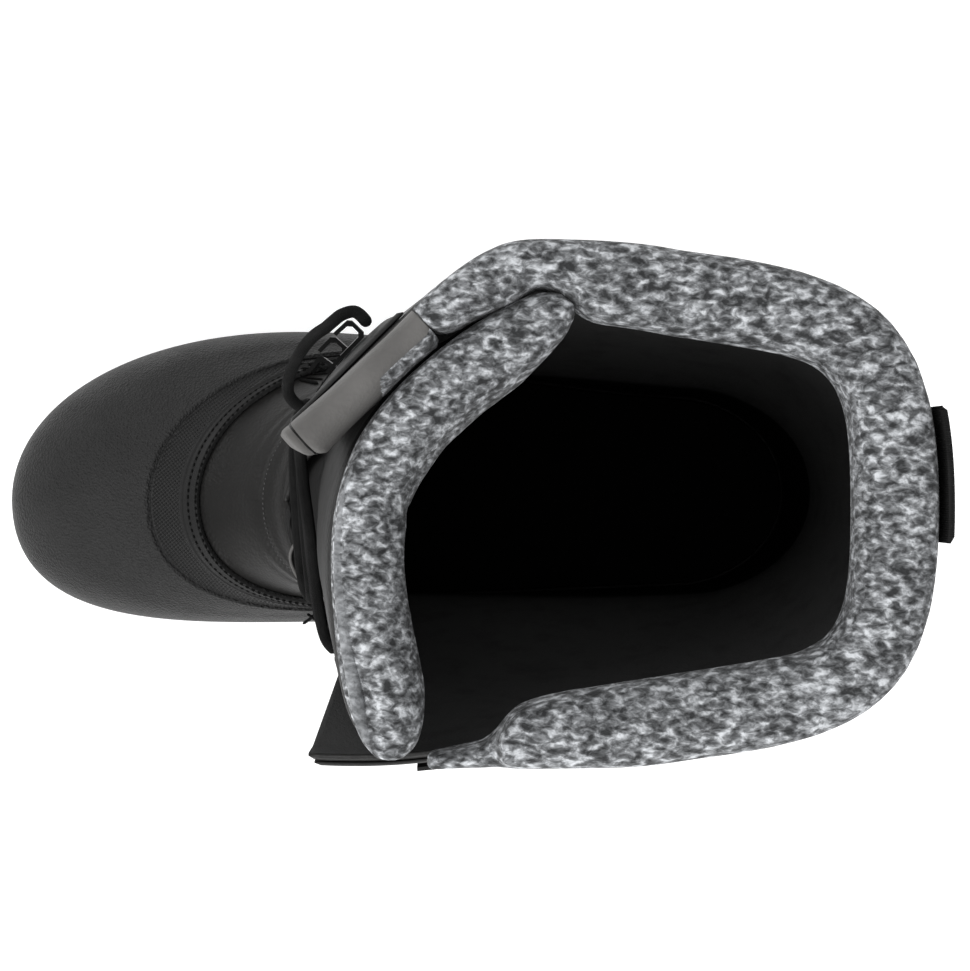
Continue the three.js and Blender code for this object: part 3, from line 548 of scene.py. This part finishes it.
MARL_SCALE = 430                # noise scale of the knit's light and dark yarns
MARL_STOPS = (0.37, 0.46, 0.54, 0.66)


def knit_material(name, levels):
    material = new_material(name, grey(levels[1]), 0.95, 0, 0.05)
    shade = Shade(material)
    shade.shader.inputs["Sheen Weight"].default_value = 0.08
    shade.shader.inputs["Sheen Roughness"].default_value = 0.5
    drawn = shade.stretched((0.7, 1.15, 0.6), turn=(0.3, 0.2, 0.5))
    marl = shade.noise(MARL_SCALE, 3, 0.55, 0.35, drawn)
    broad = shade.noise(MARL_SCALE * 0.3, 2, 0.5)
    value = shade.math("ADD", shade.math("MULTIPLY", marl, 0.82), shade.math("MULTIPLY", broad, 0.18))
    cool = lambda g: (g * 0.97, g, g * 1.04)
    shade.colour(shade.ramp(value, [(at, cool(g)) for at, g in zip(MARL_STOPS, levels)]))
    loops = shade.cells(900, vector=shade.stretched((1, 1, 0.7)))
    normal = shade.bump(loops, 0.0004, 0.7)
    normal = shade.bump(marl, 0.0008, 0.6, before=normal)
    shade.finish(normal)
    return material


# colour of the painted shade deep in the foot
PAINTED_SHADE_BLACK = 0.0006


def lining_material(name, base, shade_from, shade_to):
    """Fleece with painted shade: its colour turns black down in the foot, between two heights over the floor.
    """
    material = new_material(name, grey(base), 0.95, 0, 0.05)
    shade = Shade(material)
    parts = shade.add("ShaderNodeSeparateXYZ")
    shade.link(shade.place.outputs["Object"], parts.inputs["Vector"])
    height = shade.add("ShaderNodeMapRange")
    height.inputs["From Min"].default_value = shade_from
    height.inputs["From Max"].default_value = shade_to
    shade.link(parts.outputs["Z"], height.inputs["Value"])
    nap = shade.noise(90, 4, 0.6)
    value = shade.math("MULTIPLY", height.outputs["Result"], shade.math("ADD", nap, 0.5))
    shade.colour(shade.ramp(value, [(0.05, grey(PAINTED_SHADE_BLACK)), (1, grey(base))]))
    normal = shade.bump(shade.noise(700, 4, 0.7), 0.0005)
    shade.finish(normal)
    return material


def fabric_material(name, base, pitch, depth, roughness=0.9):
    material = new_material(name, grey(base), roughness, 0, 0.08)
    shade = Shade(material)
    tinted(shade, shade.noise(80, 4, 0.6), grey(base * 0.7), grey(base * 1.3))
    warp = shade.wave(pitch, shade.stretched((1, 1, 1), "UV"), 0.3, "X")
    weft = shade.wave(pitch, shade.stretched((1, 1, 1), "UV"), 0.3, "Y")
    normal = shade.bump(shade.math("MULTIPLY", warp, weft), depth)
    normal = shade.bump(shade.noise(500, 3), depth * 0.7, before=normal)
    shade.finish(normal)
    return material


def metal_material(name, base, roughness):
    material = new_material(name, grey(base), roughness, 1.0)
    shade = Shade(material)
    tinted(shade, shade.noise(150, 3), grey(base * 0.85), grey(base * 1.1))
    shade.roughness(shade.noise(420, 4, 0.6), roughness - 0.06, roughness + 0.14)
    shade.finish(shade.bump(shade.noise(900, 3), 0.00004))
    return material


RUBBER = rubber_material("shell rubber", 0.017, 1150, 0.0005, 0.52)
KNURL = rubber_material("knurled rubber", 0.015, 1500, 0.0001, 0.45, True)
BEAD = rubber_material("smooth rubber", 0.012, 1500, 0.00006, 0.42)
SOLE = rubber_material("sole rubber", 0.012, 700, 0.0002, 0.62)
LEATHER = leather_material("leather", 0.009, 0.4)
TRIM_LEATHER = leather_material("trim leather", 0.004, 0.55)
FACING_LEATHER = leather_material("facing leather", 0.085, 0.6)
KNIT = knit_material("marl knit", (0.028, 0.085, 0.19, 0.5))
PIPING = knit_material("tongue edge binding", (0.09, 0.14, 0.19, 0.28))
# the lining's colour is painted black deep in the foot, as shade
LINING = lining_material("lining", 0.04, 0.09, 0.1)
# near-black cloth: painted shade of the deep foot on the insole and the throat's shade sheet
SHADE_BLACK_CLOTH = fabric_material("insole cloth in painted shade", 0.0008, 420, 0.0002)
WEBBING = fabric_material("webbing", 0.012, 520, 0.0005)
LACE_BRAID = fabric_material("lace braid", 0.014, 900, 0.0004)
THREAD = fabric_material("thread", 0.003, 1200, 0.0001, 0.8)
# pale leather for the throat's bound edge: its paleness is a painted highlight along the edge
EDGE_HIGHLIGHT_LEATHER = leather_material("leather edge with painted highlight", 0.07, 0.5)
PALE_THREAD = fabric_material("pale thread", 0.07, 1200, 0.0001, 0.8)
METAL = metal_material("dark nickel", 0.03, 0.4)
BLACK_METAL = metal_material("black enamel", 0.012, 0.45)


# Cords first: the two loose ends of the lace.
LACE_LATERAL = [
    [-30.9, 24.4, 162.3], [-33.6, 25.9, 163.4], [-35.5, 28.7, 165.8], [-35.3, 32.4, 170], [-33.2, 36.8, 177],
    [-30, 41.1, 185], [-26.4, 44.6, 191.4], [-24.2, 46, 194.6], [-21.6, 47.3, 198], [-19.2, 49, 200.8],
    [-16.5, 50.8, 202.6], [-12.6, 51.6, 204], [-9.6, 49.2, 204.9], [-8.6, 47.3, 206],
]
# place from the inner front edge, ring and height over the leather
LACE_MEDIAL = np.array([
    [0.0215, 8.55, 6.6], [0.0185, 8.66, 6], [0.016, 8.82, 5.4], [0.018, 9, 5], [0.022, 9.2, 4.8],
    [0.03, 9.37, 4.7], [0.042, 9.55, 4.7], [0.055, 9.69, 4.8], [0.062, 9.76, 5.2],
])
medial_points = skin(1 - LACE_MEDIAL[:, 0], LACE_MEDIAL[:, 1], LACE_MEDIAL[:, 2])
for word, points in (("lateral", LACE_LATERAL), ("medial", medial_points)):
    path = spline(points, 70)
    piece = tube_object(f"lace_tail_{word}", [path], LACE / 2, LACE_BRAID)
    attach(piece, "root")
    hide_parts(f"lace_end_{word}")
    along = place(path)


def keep(piece, slot, *nodes):
    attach(piece, "root")
    if nodes:
        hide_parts(*nodes)
    return piece


# Foot shell: pebbled toe and sides, a groove, a knurled band, a bead and two sunk stitch rows under its edge.
GROOVE_DEPTH = 0.9
BEAD_HEIGHT = 0.55
STITCH_TROUGH = 0.35
BEAD_RING = 4.8
BAND_END_RING = 4.77
STITCH_RINGS = (4.878, 4.978)


def shell_outside(u, v):
    offset = CLEARANCE + SHELL_WALL + SHELL_STEP * (1 - smooth(STEP_RING - 0.03, STEP_RING + 0.02, v))
    offset = offset - GROOVE_DEPTH * np.exp(-((v - STEP_RING - 0.01) / 0.008) ** 2)
    offset = offset + BEAD_HEIGHT * np.exp(-((v - BEAD_RING) / 0.022) ** 2)
    for ring in STITCH_RINGS:
        offset = offset - STITCH_TROUGH * np.exp(-((v - ring) / 0.011) ** 2)
    return offset


def shell_zone(u, v):
    return np.where(v < STEP_RING + 0.035, 0, np.where(v < BAND_END_RING, 1, 2))


shell_us = ring_columns(60, 36, 34)
shell_vs = np.unique(np.concatenate([
    steps(0, 4.3, 60), steps(4.3, 4.6, 30), steps(4.6, 4.76, 6), steps(4.76, SHELL_RING, 44), [0.02, 0.04]]))
shell = rounded_wall("rubber_shell_skin", shell_us, shell_vs, lambda u, v: np.full_like(u, CLEARANCE),
                     shell_outside, [RUBBER, KNURL, BEAD, RUBBER], True, 0.9, shell_zone)
keep(shell, "shell_rubber", "rubber_shell")


# Leather upper, with soft creases over the instep and lining inside.
CREASES = [
    # u, v, length along u, width along v, depth
    (0.045, 6.2, 0.05, 0.1, 0.5), (0.075, 6.05, 0.045, 0.09, 0.45), (0.1, 5.85, 0.05, 0.09, 0.4),
    (0.93, 6.3, 0.05, 0.1, 0.6), (0.88, 6.0, 0.05, 0.12, 0.6), (0.2, 6.6, 0.06, 0.16, 1.0),
    (0.23, 6.05, 0.06, 0.16, 0.8), (0.8, 6.6, 0.06, 0.16, 1.0), (0.77, 6.1, 0.06, 0.15, 0.8),
    (0.3, 7.4, 0.08, 0.2, 0.8), (0.7, 7.4, 0.08, 0.2, 0.8), (0.44, 7.1, 0.05, 0.2, 0.7),
    (0.56, 7.1, 0.05, 0.2, 0.7),
]
CREASE_FLOOR = -1.2
CREASE_RIDGE = 0.25


def upper_outside(u, v):
    relief = np.zeros_like(u)
    for cu, cv, along, across, depth in CREASES:
        a, b = (u - cu) / along, (v - cv) / across
        relief += depth * (0.35 * np.exp(-(a**2) - (b - 1.5) ** 2) - np.exp(-(a**2) - b**2))
    from_front = np.minimum(u, 1 - u)
    clear = smooth(5.1, 5.5, v) * (1 - smooth(7.2, 7.6, v) * (1 - smooth(0.09, 0.13, from_front)))
    rear = 1 - smooth(0.46, 0.475, from_front)
    return np.maximum(CREASE_FLOOR, np.minimum(relief, CREASE_RIDGE * (relief > 0))) * clear * rear


upper_us = ring_columns(50, 34, 34)
upper_vs = np.unique(np.concatenate([
    steps(0, 4.6, 24), steps(4.6, 7, 70), steps(7, 7.2, 8), steps(7.2, FLAP_RING, 70)]))
upper = rounded_wall("leather_upper", upper_us, upper_vs, lambda u, v: np.full_like(u, -UPPER_WALL),
                     upper_outside, [LEATHER, LINING], True, 1.1, lambda u, v: np.zeros_like(u, int))
keep(upper, "leather", "upper")


# Facings and backstay.
def strip(name, us, vs, offset, thickness, material, slot, node, edge=1.0):
    piece = rounded_wall(name, us, vs, lambda u, v: np.full_like(u, offset),
                         lambda u, v: np.full_like(u, offset + thickness), [material, material], False, edge)
    return keep(piece, slot, node)


EYESTAY_ENDS = {"lateral": 0.0814, "medial": 0.1086}
OVERLAY_RING = 10.2
TAB_LIFT = 2.3
TAB_WALL = 2.0
for word, end in EYESTAY_ENDS.items():
    us = np.linspace(0.003, end, 30)
    us = us if word == "lateral" else 1 - us[::-1]
    strip(f"facing_{word}", us, np.linspace(7.5, OVERLAY_RING, 70), CLEARANCE, OVERLAY_WALL, TRIM_LEATHER,
          "leather", f"eyestay_{word}")
strip("heel_strip", np.linspace(0.4767, 0.5233, 16), np.linspace(5.7, OVERLAY_RING, 90), CLEARANCE,
      OVERLAY_WALL, TRIM_LEATHER, "leather", "backstay")
strip("pull_webbing", np.linspace(0.472, 0.509, 22), np.linspace(9.35, 10.85, 46), TAB_LIFT, TAB_WALL,
      WEBBING, "webbing", "pull_tab", 0.7)


# Padded pieces.
def read_table(table, at):
    table = np.asarray(table, float)
    return [np.interp(at, table[:, 0], table[:, k]) for k in range(1, table.shape[1])]


ROLL_FOOT = float(ring_point(0.5, FLAP_RING)[2]) + CLEARANCE


def roll(us, thickness, proud, foot, top, count, shrink, square=0.62):
    before = ring_point(np.clip(us - PROBE, 0, 1), COLLAR_RING)
    after = ring_point(np.clip(us + PROBE, 0, 1), COLLAR_RING)
    outward = unit(np.stack([before[:, 1] - after[:, 1], after[:, 0] - before[:, 0], 0 * us], axis=-1))
    base = ring_point(us, COLLAR_RING)
    angle = np.linspace(0, 2 * np.pi, count, endpoint=False)
    power = lambda a: np.sign(a) * np.abs(a) ** square
    across, up = power(np.sin(angle)), power(np.cos(angle))
    half = (thickness / 2 - shrink)[:, None]
    out = (proud - thickness / 2)[:, None] + across[None] * half
    points = base[:, None] + outward[:, None] * out[..., None]
    points[..., 2] = mix((foot + shrink)[:, None], (top - shrink)[:, None], (up[None] + 1) / 2)
    return points


def tube_mesh(name, grid, material):
    rows, columns = grid.shape[:2]
    faces = [tuple(f) for f in grid_faces(rows, columns, 0, True)]
    faces.append(tuple(range(columns))[::-1])
    faces.append(tuple((rows - 1) * columns + k for k in range(columns)))
    return weld(make_object(name, place(grid.reshape(-1, 3)), faces, [material]))


def set_active(obj):
    bpy.ops.object.select_all(action="DESELECT")
    obj.select_set(True)
    bpy.context.view_layer.objects.active = obj


def remesh(obj, voxel):
    set_active(obj)
    modifier = obj.modifiers.new("voxels", "REMESH")
    modifier.mode = "VOXEL"
    modifier.voxel_size = voxel
    bpy.ops.object.modifier_apply(modifier=modifier.name)


PAD_VOXEL = 0.0035
PAD_PRESSURE = 4
PAD_SWELL = 0.0025
CLOTH_FRAMES = 20


def puff(obj):
    """Swells a padded piece by cloth under pressure, by at most PAD_SWELL, and rounds it off."""
    remesh(obj, PAD_VOXEL)
    mesh = obj.data
    count = len(mesh.vertices)
    start = np.empty(count * 3, dtype=np.float32)
    mesh.vertices.foreach_get("co", start)
    start = start.reshape(-1, 3)
    modifier = obj.modifiers.new("cloth", "CLOTH")
    settings = modifier.settings
    settings.use_pressure = True
    settings.uniform_pressure_force = PAD_PRESSURE
    settings.effector_weights.gravity = 0
    settings.quality = 5
    modifier.point_cache.frame_start = 1
    modifier.point_cache.frame_end = CLOTH_FRAMES
    for f in range(1, CLOTH_FRAMES + 1):
        scene.frame_set(f)
    depsgraph = bpy.context.evaluated_depsgraph_get()
    swollen = np.empty(count * 3, dtype=np.float32)
    obj.evaluated_get(depsgraph).data.vertices.foreach_get("co", swollen)
    move = swollen.reshape(-1, 3) - start
    size = np.linalg.norm(move, axis=1, keepdims=True)
    start = start + move * np.minimum(1, PAD_SWELL / np.maximum(size, 1e-9))
    obj.modifiers.remove(modifier)
    scene.frame_set(1)
    mesh.vertices.foreach_set("co", start.astype(np.float32).ravel())
    set_active(obj)
    subdivide = obj.modifiers.new("round", "SUBSURF")
    subdivide.levels = 1
    bpy.ops.object.modifier_apply(modifier=subdivide.name)
    obj.data.polygons.foreach_set("use_smooth", np.full(len(obj.data.polygons), True))
    obj.data.update()


# u along the collar, share of the padding's thickness
COLLAR = [[0.078, 0.5], [0.08, 0.62], [0.1, 0.68], [0.13, 0.82], [0.155, 0.84], [0.178, 0.66], [0.2, 0.64],
          [0.225, 0.76], [0.24, 0.95], [0.256, 1.12], [0.5, 1.1], [0.7, 1.1], [0.77, 0.98], [0.8, 0.9],
          [0.83, 0.76], [0.842, 0.6], [0.852, 0.42], [0.862, 0.3], [0.928, 0.25], [0.93, 0.12]]
FACING = [[0.001, 0.35], [0.0035, 0.7], [0.009, 0.9], [0.02, 0.86], [0.05, 0.84], [0.073, 0.86],
          [0.0765, 0.78]]
COLLAR_THICK = 20
COLLAR_PROUD = 1
FACING_THICK = 14
FACING_DROP = 3
FACING_SEAM = 0.0062            # a dark seam sets off the rim at the free end
PAD_SHRINK = 0.15
COLLAR_START = 0.0752           # the knit is sewn over the facing's end
COLLAR_END = 0.928
PAD_OVERLAP = 2.2               # the padding is sewn down over the leather's top edge

collar_us = np.unique(np.concatenate([
    np.linspace(COLLAR_START, COLLAR_END, 190), np.linspace(COLLAR_START, 0.09, 10)]))
share = read_table(COLLAR, collar_us)[0]
collar_top = mix(ROLL_FOOT, BOOT_HEIGHT, smooth(0, 0.5, share))
collar_grid = roll(collar_us, COLLAR_THICK * share, np.full_like(collar_us, COLLAR_PROUD),
                   ROLL_FOOT - PAD_OVERLAP, collar_top, 40,
                   np.minimum(PAD_SHRINK, COLLAR_THICK * share * 0.2))
collar = tube_mesh("knit_collar", collar_grid, KNIT)
puff(collar)
keep(collar, "knit", "collar")

facing_us = np.unique(np.concatenate([np.linspace(0.0012, 0.0765, 90), [0.0015, 0.002, 0.003, 0.004]]))
share = read_table(FACING, facing_us)[0]
facing_top = mix(ROLL_FOOT, BOOT_HEIGHT - FACING_DROP, smooth(0, 0.75, share))
rim = np.exp(-((facing_us - FACING_SEAM) / 0.0006) ** 2)
soft = 0.25 * np.sin(facing_us * 190) + 0.2 * np.sin(facing_us * 83 + 1)
facing_grid = roll(facing_us, FACING_THICK * share, np.full_like(facing_us, COLLAR_PROUD), ROLL_FOOT,
                   facing_top - 0.5 * rim + soft * 0.6, 56,
                   np.minimum(0.2 + 0.35 * rim - 0.3 * soft, 1.2), 0.8)
facing = tube_mesh("padded_facing", facing_grid, FACING_LEATHER)
facing.data.materials.append(KNIT)
# its inner side is knit near the collar
inward = np.array([0.62, -0.78])
knit_from = place([-2, 0, 0])[0]
for polygon in facing.data.polygons:
    way = polygon.normal
    inside = way.x * inward[0] + way.y * inward[1] > 0.55
    if inside and polygon.center.x > knit_from:
        polygon.material_index = 1
keep(facing, "facing_leather", "collar_facing")
seam_row = facing_grid[np.argmin(np.abs(facing_us - FACING_SEAM))]
seam_loop = np.concatenate([seam_row[-18:], seam_row[:18]])
keep(tube_object("facing_seam", [spline(seam_loop, 80)], 0.42, TRIM_LEATHER, 8), "facing_leather")

# rise, outer end, two front points and inner end as x and y shares, thickness share
TONGUE = np.array([
    [0.375, -0.11, 0.14, -0.171, 0.05, -0.171, -0.24, -0.11, -0.32, 0.25],
    [0.4, -0.06, 0.26, -0.118, 0.14, -0.118, -0.24, -0.06, -0.38, 0.3],
    [0.5, -0.015, 0.4, -0.098, 0.2, -0.098, -0.34, -0.015, -0.54, 0.36],
    [0.6, 0.01, 0.48, -0.09, 0.24, -0.096, -0.36, -0.006, -0.66, 0.42],
    [0.72, 0.064, 0.55, -0.07, 0.26, -0.092, -0.38, -0.004, -0.8, 0.6],
    [0.84, 0.124, 0.61, -0.06, 0.2, -0.06, -0.31, 0, -0.94, 0.85],
    [0.94, 0.158, 0.655, -0.07, 0.125, -0.024, -0.255, 0.003, -1.025, 1.02],
    [0.975, 0.161, 0.66, -0.07, 0.12, -0.021, -0.25, 0.002, -1.03, 0.92],
    [0.99, 0.159, 0.65, -0.066, 0.12, -0.02, -0.25, 0.003, -1.015, 0.55],
])
TONGUE_THICK = 20
TONGUE_FOOT = 0.375
TONGUE_TOP = 0.99


def tongue_at(rise, t):
    """Middle line of the tongue, its plan normal towards the front and half its thickness."""
    c = [np.interp(rise, TONGUE[:, 0], TONGUE[:, k]) for k in range(1, 10)]
    curve = lambda s: np.stack([bezier(c[0], c[2], c[4], c[6], s) * SOLE_LENGTH,
                                bezier(c[1], c[3], c[5], c[7], s) * COLLAR_WIDTH / 2,
                                np.broadcast_to(rise * BOOT_HEIGHT, np.shape(s))], axis=-1)
    along = unit(curve(t + PROBE) - curve(t - PROBE))
    front = np.stack([along[..., 1], -along[..., 0], 0 * t], axis=-1)
    return curve(t), front, TONGUE_THICK * c[8] / 2


stops = np.concatenate([[0, 0.004, 0.015, 0.03], np.linspace(0.05, 0.95, 60), [0.97, 0.985, 0.996, 1]])
taper = np.sqrt(np.maximum(0, 1 - np.abs(2 * stops - 1) ** 20))
TONGUE_REACH = 1.04             # the remeshed ends draw in, so they start this much longer
rises = np.unique(np.concatenate([np.linspace(TONGUE_FOOT, 0.94, 60), np.linspace(0.94, TONGUE_TOP, 12)]))
sections = []
for rise in rises:
    middle, front_way, half = tongue_at(rise, 0.5 + (stops - 0.5) * TONGUE_REACH)
    dome = 1 - 0.25 * smooth(0.965, TONGUE_TOP, rise)
    ahead = middle + front_way * ((half - 1.3) * taper * dome)[:, None]
    slim = 2.2 * np.exp(-((stops - 0.55) / 0.22) ** 2)
    behind = middle - front_way * ((half - 0.4 - slim) * taper * dome)[:, None]
    sections.append(np.concatenate([ahead, behind[-2:0:-1]]))
tongue = tube_mesh("knit_tongue", np.array(sections), KNIT)
puff(tongue)
keep(tongue, "knit", "tongue")

# Leather face on the front of the tongue, up to the edge binding.
face_stops = np.linspace(0.03, 0.97, 60)
face_rises = np.linspace(0.38, 0.955, 70)
face_taper = np.sqrt(1 - np.abs(2 * face_stops - 1) ** 12)
outside, inside = [], []
for rise in face_rises:
    middle, front_way, half = tongue_at(rise, face_stops)
    lean = 1 - smooth(0.93, 0.955, rise) * 0.25
    outside.append(middle + front_way * ((half + 1.7) * face_taper * lean)[:, None])
    inside.append(middle + front_way * ((half - 1.6) * face_taper * lean)[:, None])
outside, inside = np.array(outside), np.array(inside)
rows, columns = outside.shape[:2]
count = rows * columns
faces = np.concatenate([grid_faces(rows, columns), grid_faces(rows, columns, count)[:, ::-1]])
top = (rows - 1) * columns + np.arange(columns - 1)
left = np.arange(rows - 1) * columns
right = left + columns - 1
edges = [np.stack([top + 1, top, top + count, top + 1 + count], -1),
         np.stack([left, left + columns, left + columns + count, left + count], -1),
         np.stack([right, right + columns, right + columns + count, right + count], -1)]
face = make_object("tongue_face", place(np.concatenate([outside.reshape(-1, 3), inside.reshape(-1, 3)])),
                   np.concatenate([faces, *edges]), [TRIM_LEATHER])
keep(weld(face), "leather")
binding_stops = np.linspace(0.02, 0.98, 90)
middle, front_way, half = tongue_at(0.968, binding_stops)
binding_taper = np.sqrt(1 - np.abs(2 * binding_stops - 1) ** 12)
binding = middle + front_way * ((half - 1.9) * binding_taper)[:, None]
keep(tube_object("tongue_binding", [binding], 2.0, PIPING, 14), "knit")


# Lace crossings, at the places of the part.
RINGS_AT = {"low": (0.022, 7.75), "high": (0.022, 8.3)}
LAST_LATERAL = (0.009, 8.45)
LAST_MEDIAL = (0.02, 8.5)
LACE_BOW = 1


def lace_run(a, b):
    (wa, va), (wb, vb) = a, b
    first = skin(wa, va, LACE_LIFT)
    edge_a = skin(0.004, mix(va, vb, 0.25), LACE_LIFT)
    edge_b = skin(0.996, mix(va, vb, 0.75), LACE_LIFT)
    last = skin(1 - wb, vb, LACE_LIFT)
    middle = (edge_a + edge_b) / 2
    middle[0] -= LACE_BOW
    return spline([first, edge_a, middle, edge_b, last], 50)


ring_low, ring_high = RINGS_AT["low"], RINGS_AT["high"]
runs = [(ring_low, ring_low), (ring_low, ring_high), (ring_high, ring_low), (ring_high, LAST_MEDIAL),
        (LAST_LATERAL, ring_high)]
crossings = tube_object("lace_runs", [lace_run(a, b) for a, b in runs], LACE / 2, LACE_BRAID)
keep(crossings, "lace", "lace_crossings")


# Stitches, as small sunk beads of thread along a line on the surface.
def stitches(name, line, normals, pitch, length, width, material, slot):
    line = np.asarray(line, float)
    run = arc(line, 0)
    at = np.arange(pitch / 2, run[-1], pitch)
    centres = np.stack([np.interp(at, run, line[:, k]) for k in range(3)], axis=-1)
    ahead = np.stack([np.interp(at + 0.2, run, line[:, k]) for k in range(3)], axis=-1)
    up = unit(np.stack([np.interp(at, run, normals[:, k]) for k in range(3)], axis=-1))
    along = unit(ahead - centres + 1e-9)
    across = np.cross(up, along)
    shape = [(-0.5, 0, -0.2), (-0.3, -0.5, 0), (-0.3, 0, 0.5), (-0.3, 0.5, 0),
             (0.3, -0.5, 0), (0.3, 0, 0.5), (0.3, 0.5, 0), (0.5, 0, -0.2)]
    faces_of = [(0, 2, 1), (0, 3, 2), (1, 2, 5, 4), (2, 3, 6, 5), (4, 5, 7), (5, 6, 7), (0, 1, 4, 7),
                (0, 7, 6, 3)]
    points, faces = [], []
    for i in range(len(at)):
        wobble = 1 + 0.12 * rng.standard_normal()
        for a, b, c in shape:
            points.append(centres[i] + along[i] * a * length * wobble + across[i] * b * width
                          + up[i] * c * width)
        faces += [tuple(i * 8 + k for k in f) for f in faces_of]
    piece = make_object(name, place(points), faces, [material])
    return keep(piece, slot)


def ring_line(us, v, offset):
    us = np.asarray(us, float)
    vs = np.broadcast_to(np.asarray(v, float), us.shape)
    return skin(us, vs, offset), normal_at(us, vs)


whole = np.linspace(0, 1, 1200)
for k, ring in enumerate(STITCH_RINGS):
    line, normals = ring_line(whole, ring, CLEARANCE + SHELL_WALL - 0.1)
    stitches(f"shell_stitch_{k + 1}", line, normals, 2.3, 1.45, 0.8, THREAD, "lace")
vamp_us = np.concatenate([np.linspace(0.905, 1, 200), np.linspace(0, 0.075, 200)[1:]])
line, normals = ring_line(vamp_us, 6.35, 0.05)
stitches("vamp_stitch", line, normals, 1.7, 0.9, 0.45, PALE_THREAD, "lace")


# Bound edge and a black sheet of painted shade at the throat's inner foot, bar tacks and thread ends at the
# shell's edge.
THROAT_BINDING = [
    [-34.2, -18.6, 121], [-37, -19.2, 119.5], [-39, -22.2, 117.5], [-39.2, -25.4, 116], [-37.4, -29.9, 116],
    [-33.6, -34.3, 118.8], [-30, -36.2, 124],
]
# a flat black sheet inside the binding is painted shade in the throat's hollow
SHADE_SHEET_ENDS = np.array([[-30.5, -17.5, 120.6], [-28.5, -36.5, 124.2]])
SHADE_SHEET_COLUMNS = 7
SHADE_SHEET_DROP = 0.4
binding_line = spline(THROAT_BINDING, 40)
# the binding's pale colour is a painted highlight
keep(tube_object("throat_binding", [binding_line], 0.55, EDGE_HIGHLIGHT_LEATHER), "leather")
across = np.linspace(0, 1, SHADE_SHEET_COLUMNS)[None, :, None]
chord = mix(SHADE_SHEET_ENDS[0], SHADE_SHEET_ENDS[1], np.linspace(0, 1, len(binding_line))[:, None])
shade_sheet = mix(binding_line[:, None], chord[:, None], across)
shade_sheet[..., 2] -= SHADE_SHEET_DROP
shade_sheet_faces = grid_faces(len(binding_line), SHADE_SHEET_COLUMNS)
keep(make_object("throat_shade_sheet", place(shade_sheet.reshape(-1, 3)), shade_sheet_faces, [SHADE_BLACK_CLOTH]), "lining")
# from u, v to u, v, radius
BAR_TACKS = [
    (0.154, 4.5, 0.173, 4.68, 0.35), (0.146, 4.73, 0.16, 4.98, 0.35), (0.149, 4.66, 0.15, 5.15, 0.3),
    (0.141, 4.9, 0.148, 5.25, 0.35), (0.134, 5.02, 0.13, 5.55, 0.75), (0.137, 4.95, 0.137, 5.45, 0.35),
]
for k, (ua, va, ub, vb, radius) in enumerate(BAR_TACKS):
    along = np.linspace(0, 1, 9)
    us, vs = mix(ua, ub, along), mix(va, vb, along)
    lift = np.where(vs < 5, CLEARANCE + SHELL_WALL + 0.25, 0.3)
    keep(tube_object(f"bar_tack_{k + 1}", [skin(us, vs, lift)], radius, THREAD, 8), "lace")
THREAD_ENDS = [
    [[-38.8, -49.3, 71], [-36, -47.3, 73.5], [-33.6, -45.2, 75]],
    [[-32, -49, 71], [-34.4, -47.3, 74], [-37, -45.4, 75]],
]
keep(tube_object("thread_ends", [spline(path, 12) for path in THREAD_ENDS], 0.55, THREAD, 8), "lace")


# Finishes of the nodes that stay as they are.
for name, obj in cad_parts.items():
    if name == "outsole":
        finish = SOLE
    # the insole takes the near-black painted shade
    elif name == "insole":
        finish = SHADE_BLACK_CLOTH
    elif name.startswith("lace_ring"):
        finish = METAL
    elif name.startswith(("ring_clip", "lace_hook")):
        finish = BLACK_METAL
    else:
        continue
    obj.data.materials.clear()
    obj.data.materials.append(finish)


# Floor and light.
FLOOR_HALF = 3.0
FLOOR_DROP = 0.0002
floor_corners = [(-FLOOR_HALF, -FLOOR_HALF), (FLOOR_HALF, -FLOOR_HALF), (FLOOR_HALF, FLOOR_HALF),
                 (-FLOOR_HALF, FLOOR_HALF)]
FLOOR = new_material("floor", (0.93, 0.93, 0.93), 0.9, 0, 0.1)
shade = Shade(FLOOR)
shade.shader.inputs["Emission Color"].default_value = (1, 1, 1, 1)
shade.shader.inputs["Emission Strength"].default_value = 0.3
shade.finish(shade.bump(shade.noise(60, 2), 0.00002))
floor = make_object("floor", [(x, y, -FLOOR_DROP) for x, y in floor_corners], [(0, 1, 2, 3)], [FLOOR])


def area_light(name, at, target, size, power):
    data = bpy.data.lights.new(name, "AREA")
    data.energy = power
    data.shape = "SQUARE"
    data.size = size
    light = bpy.data.objects.new(name, data)
    light.location = at
    way = Vector(target) - Vector(at)
    light.rotation_euler = way.to_track_quat("-Z", "Y").to_euler()
    scene.collection.objects.link(light)


area_light("overhead", (0, 0, 2.2), (0, 0, 0), 2.4, 14)
area_light("key", (-0.45, -1.1, 0.95), (-0.05, 0, 0.1), 0.7, 17)
area_light("fill", (-0.9, 0.9, 1.1), (0, 0, 0.1), 0.9, 9)
world = bpy.data.worlds.new("studio")
world.use_nodes = True
world.node_tree.nodes["Background"].inputs["Color"].default_value = (1, 1, 1, 1)
world.node_tree.nodes["Background"].inputs["Strength"].default_value = 0.72
scene.world = world
scene.view_settings.view_transform = "Standard"
scene.view_settings.look = "None"

bpy.context.view_layer.update()
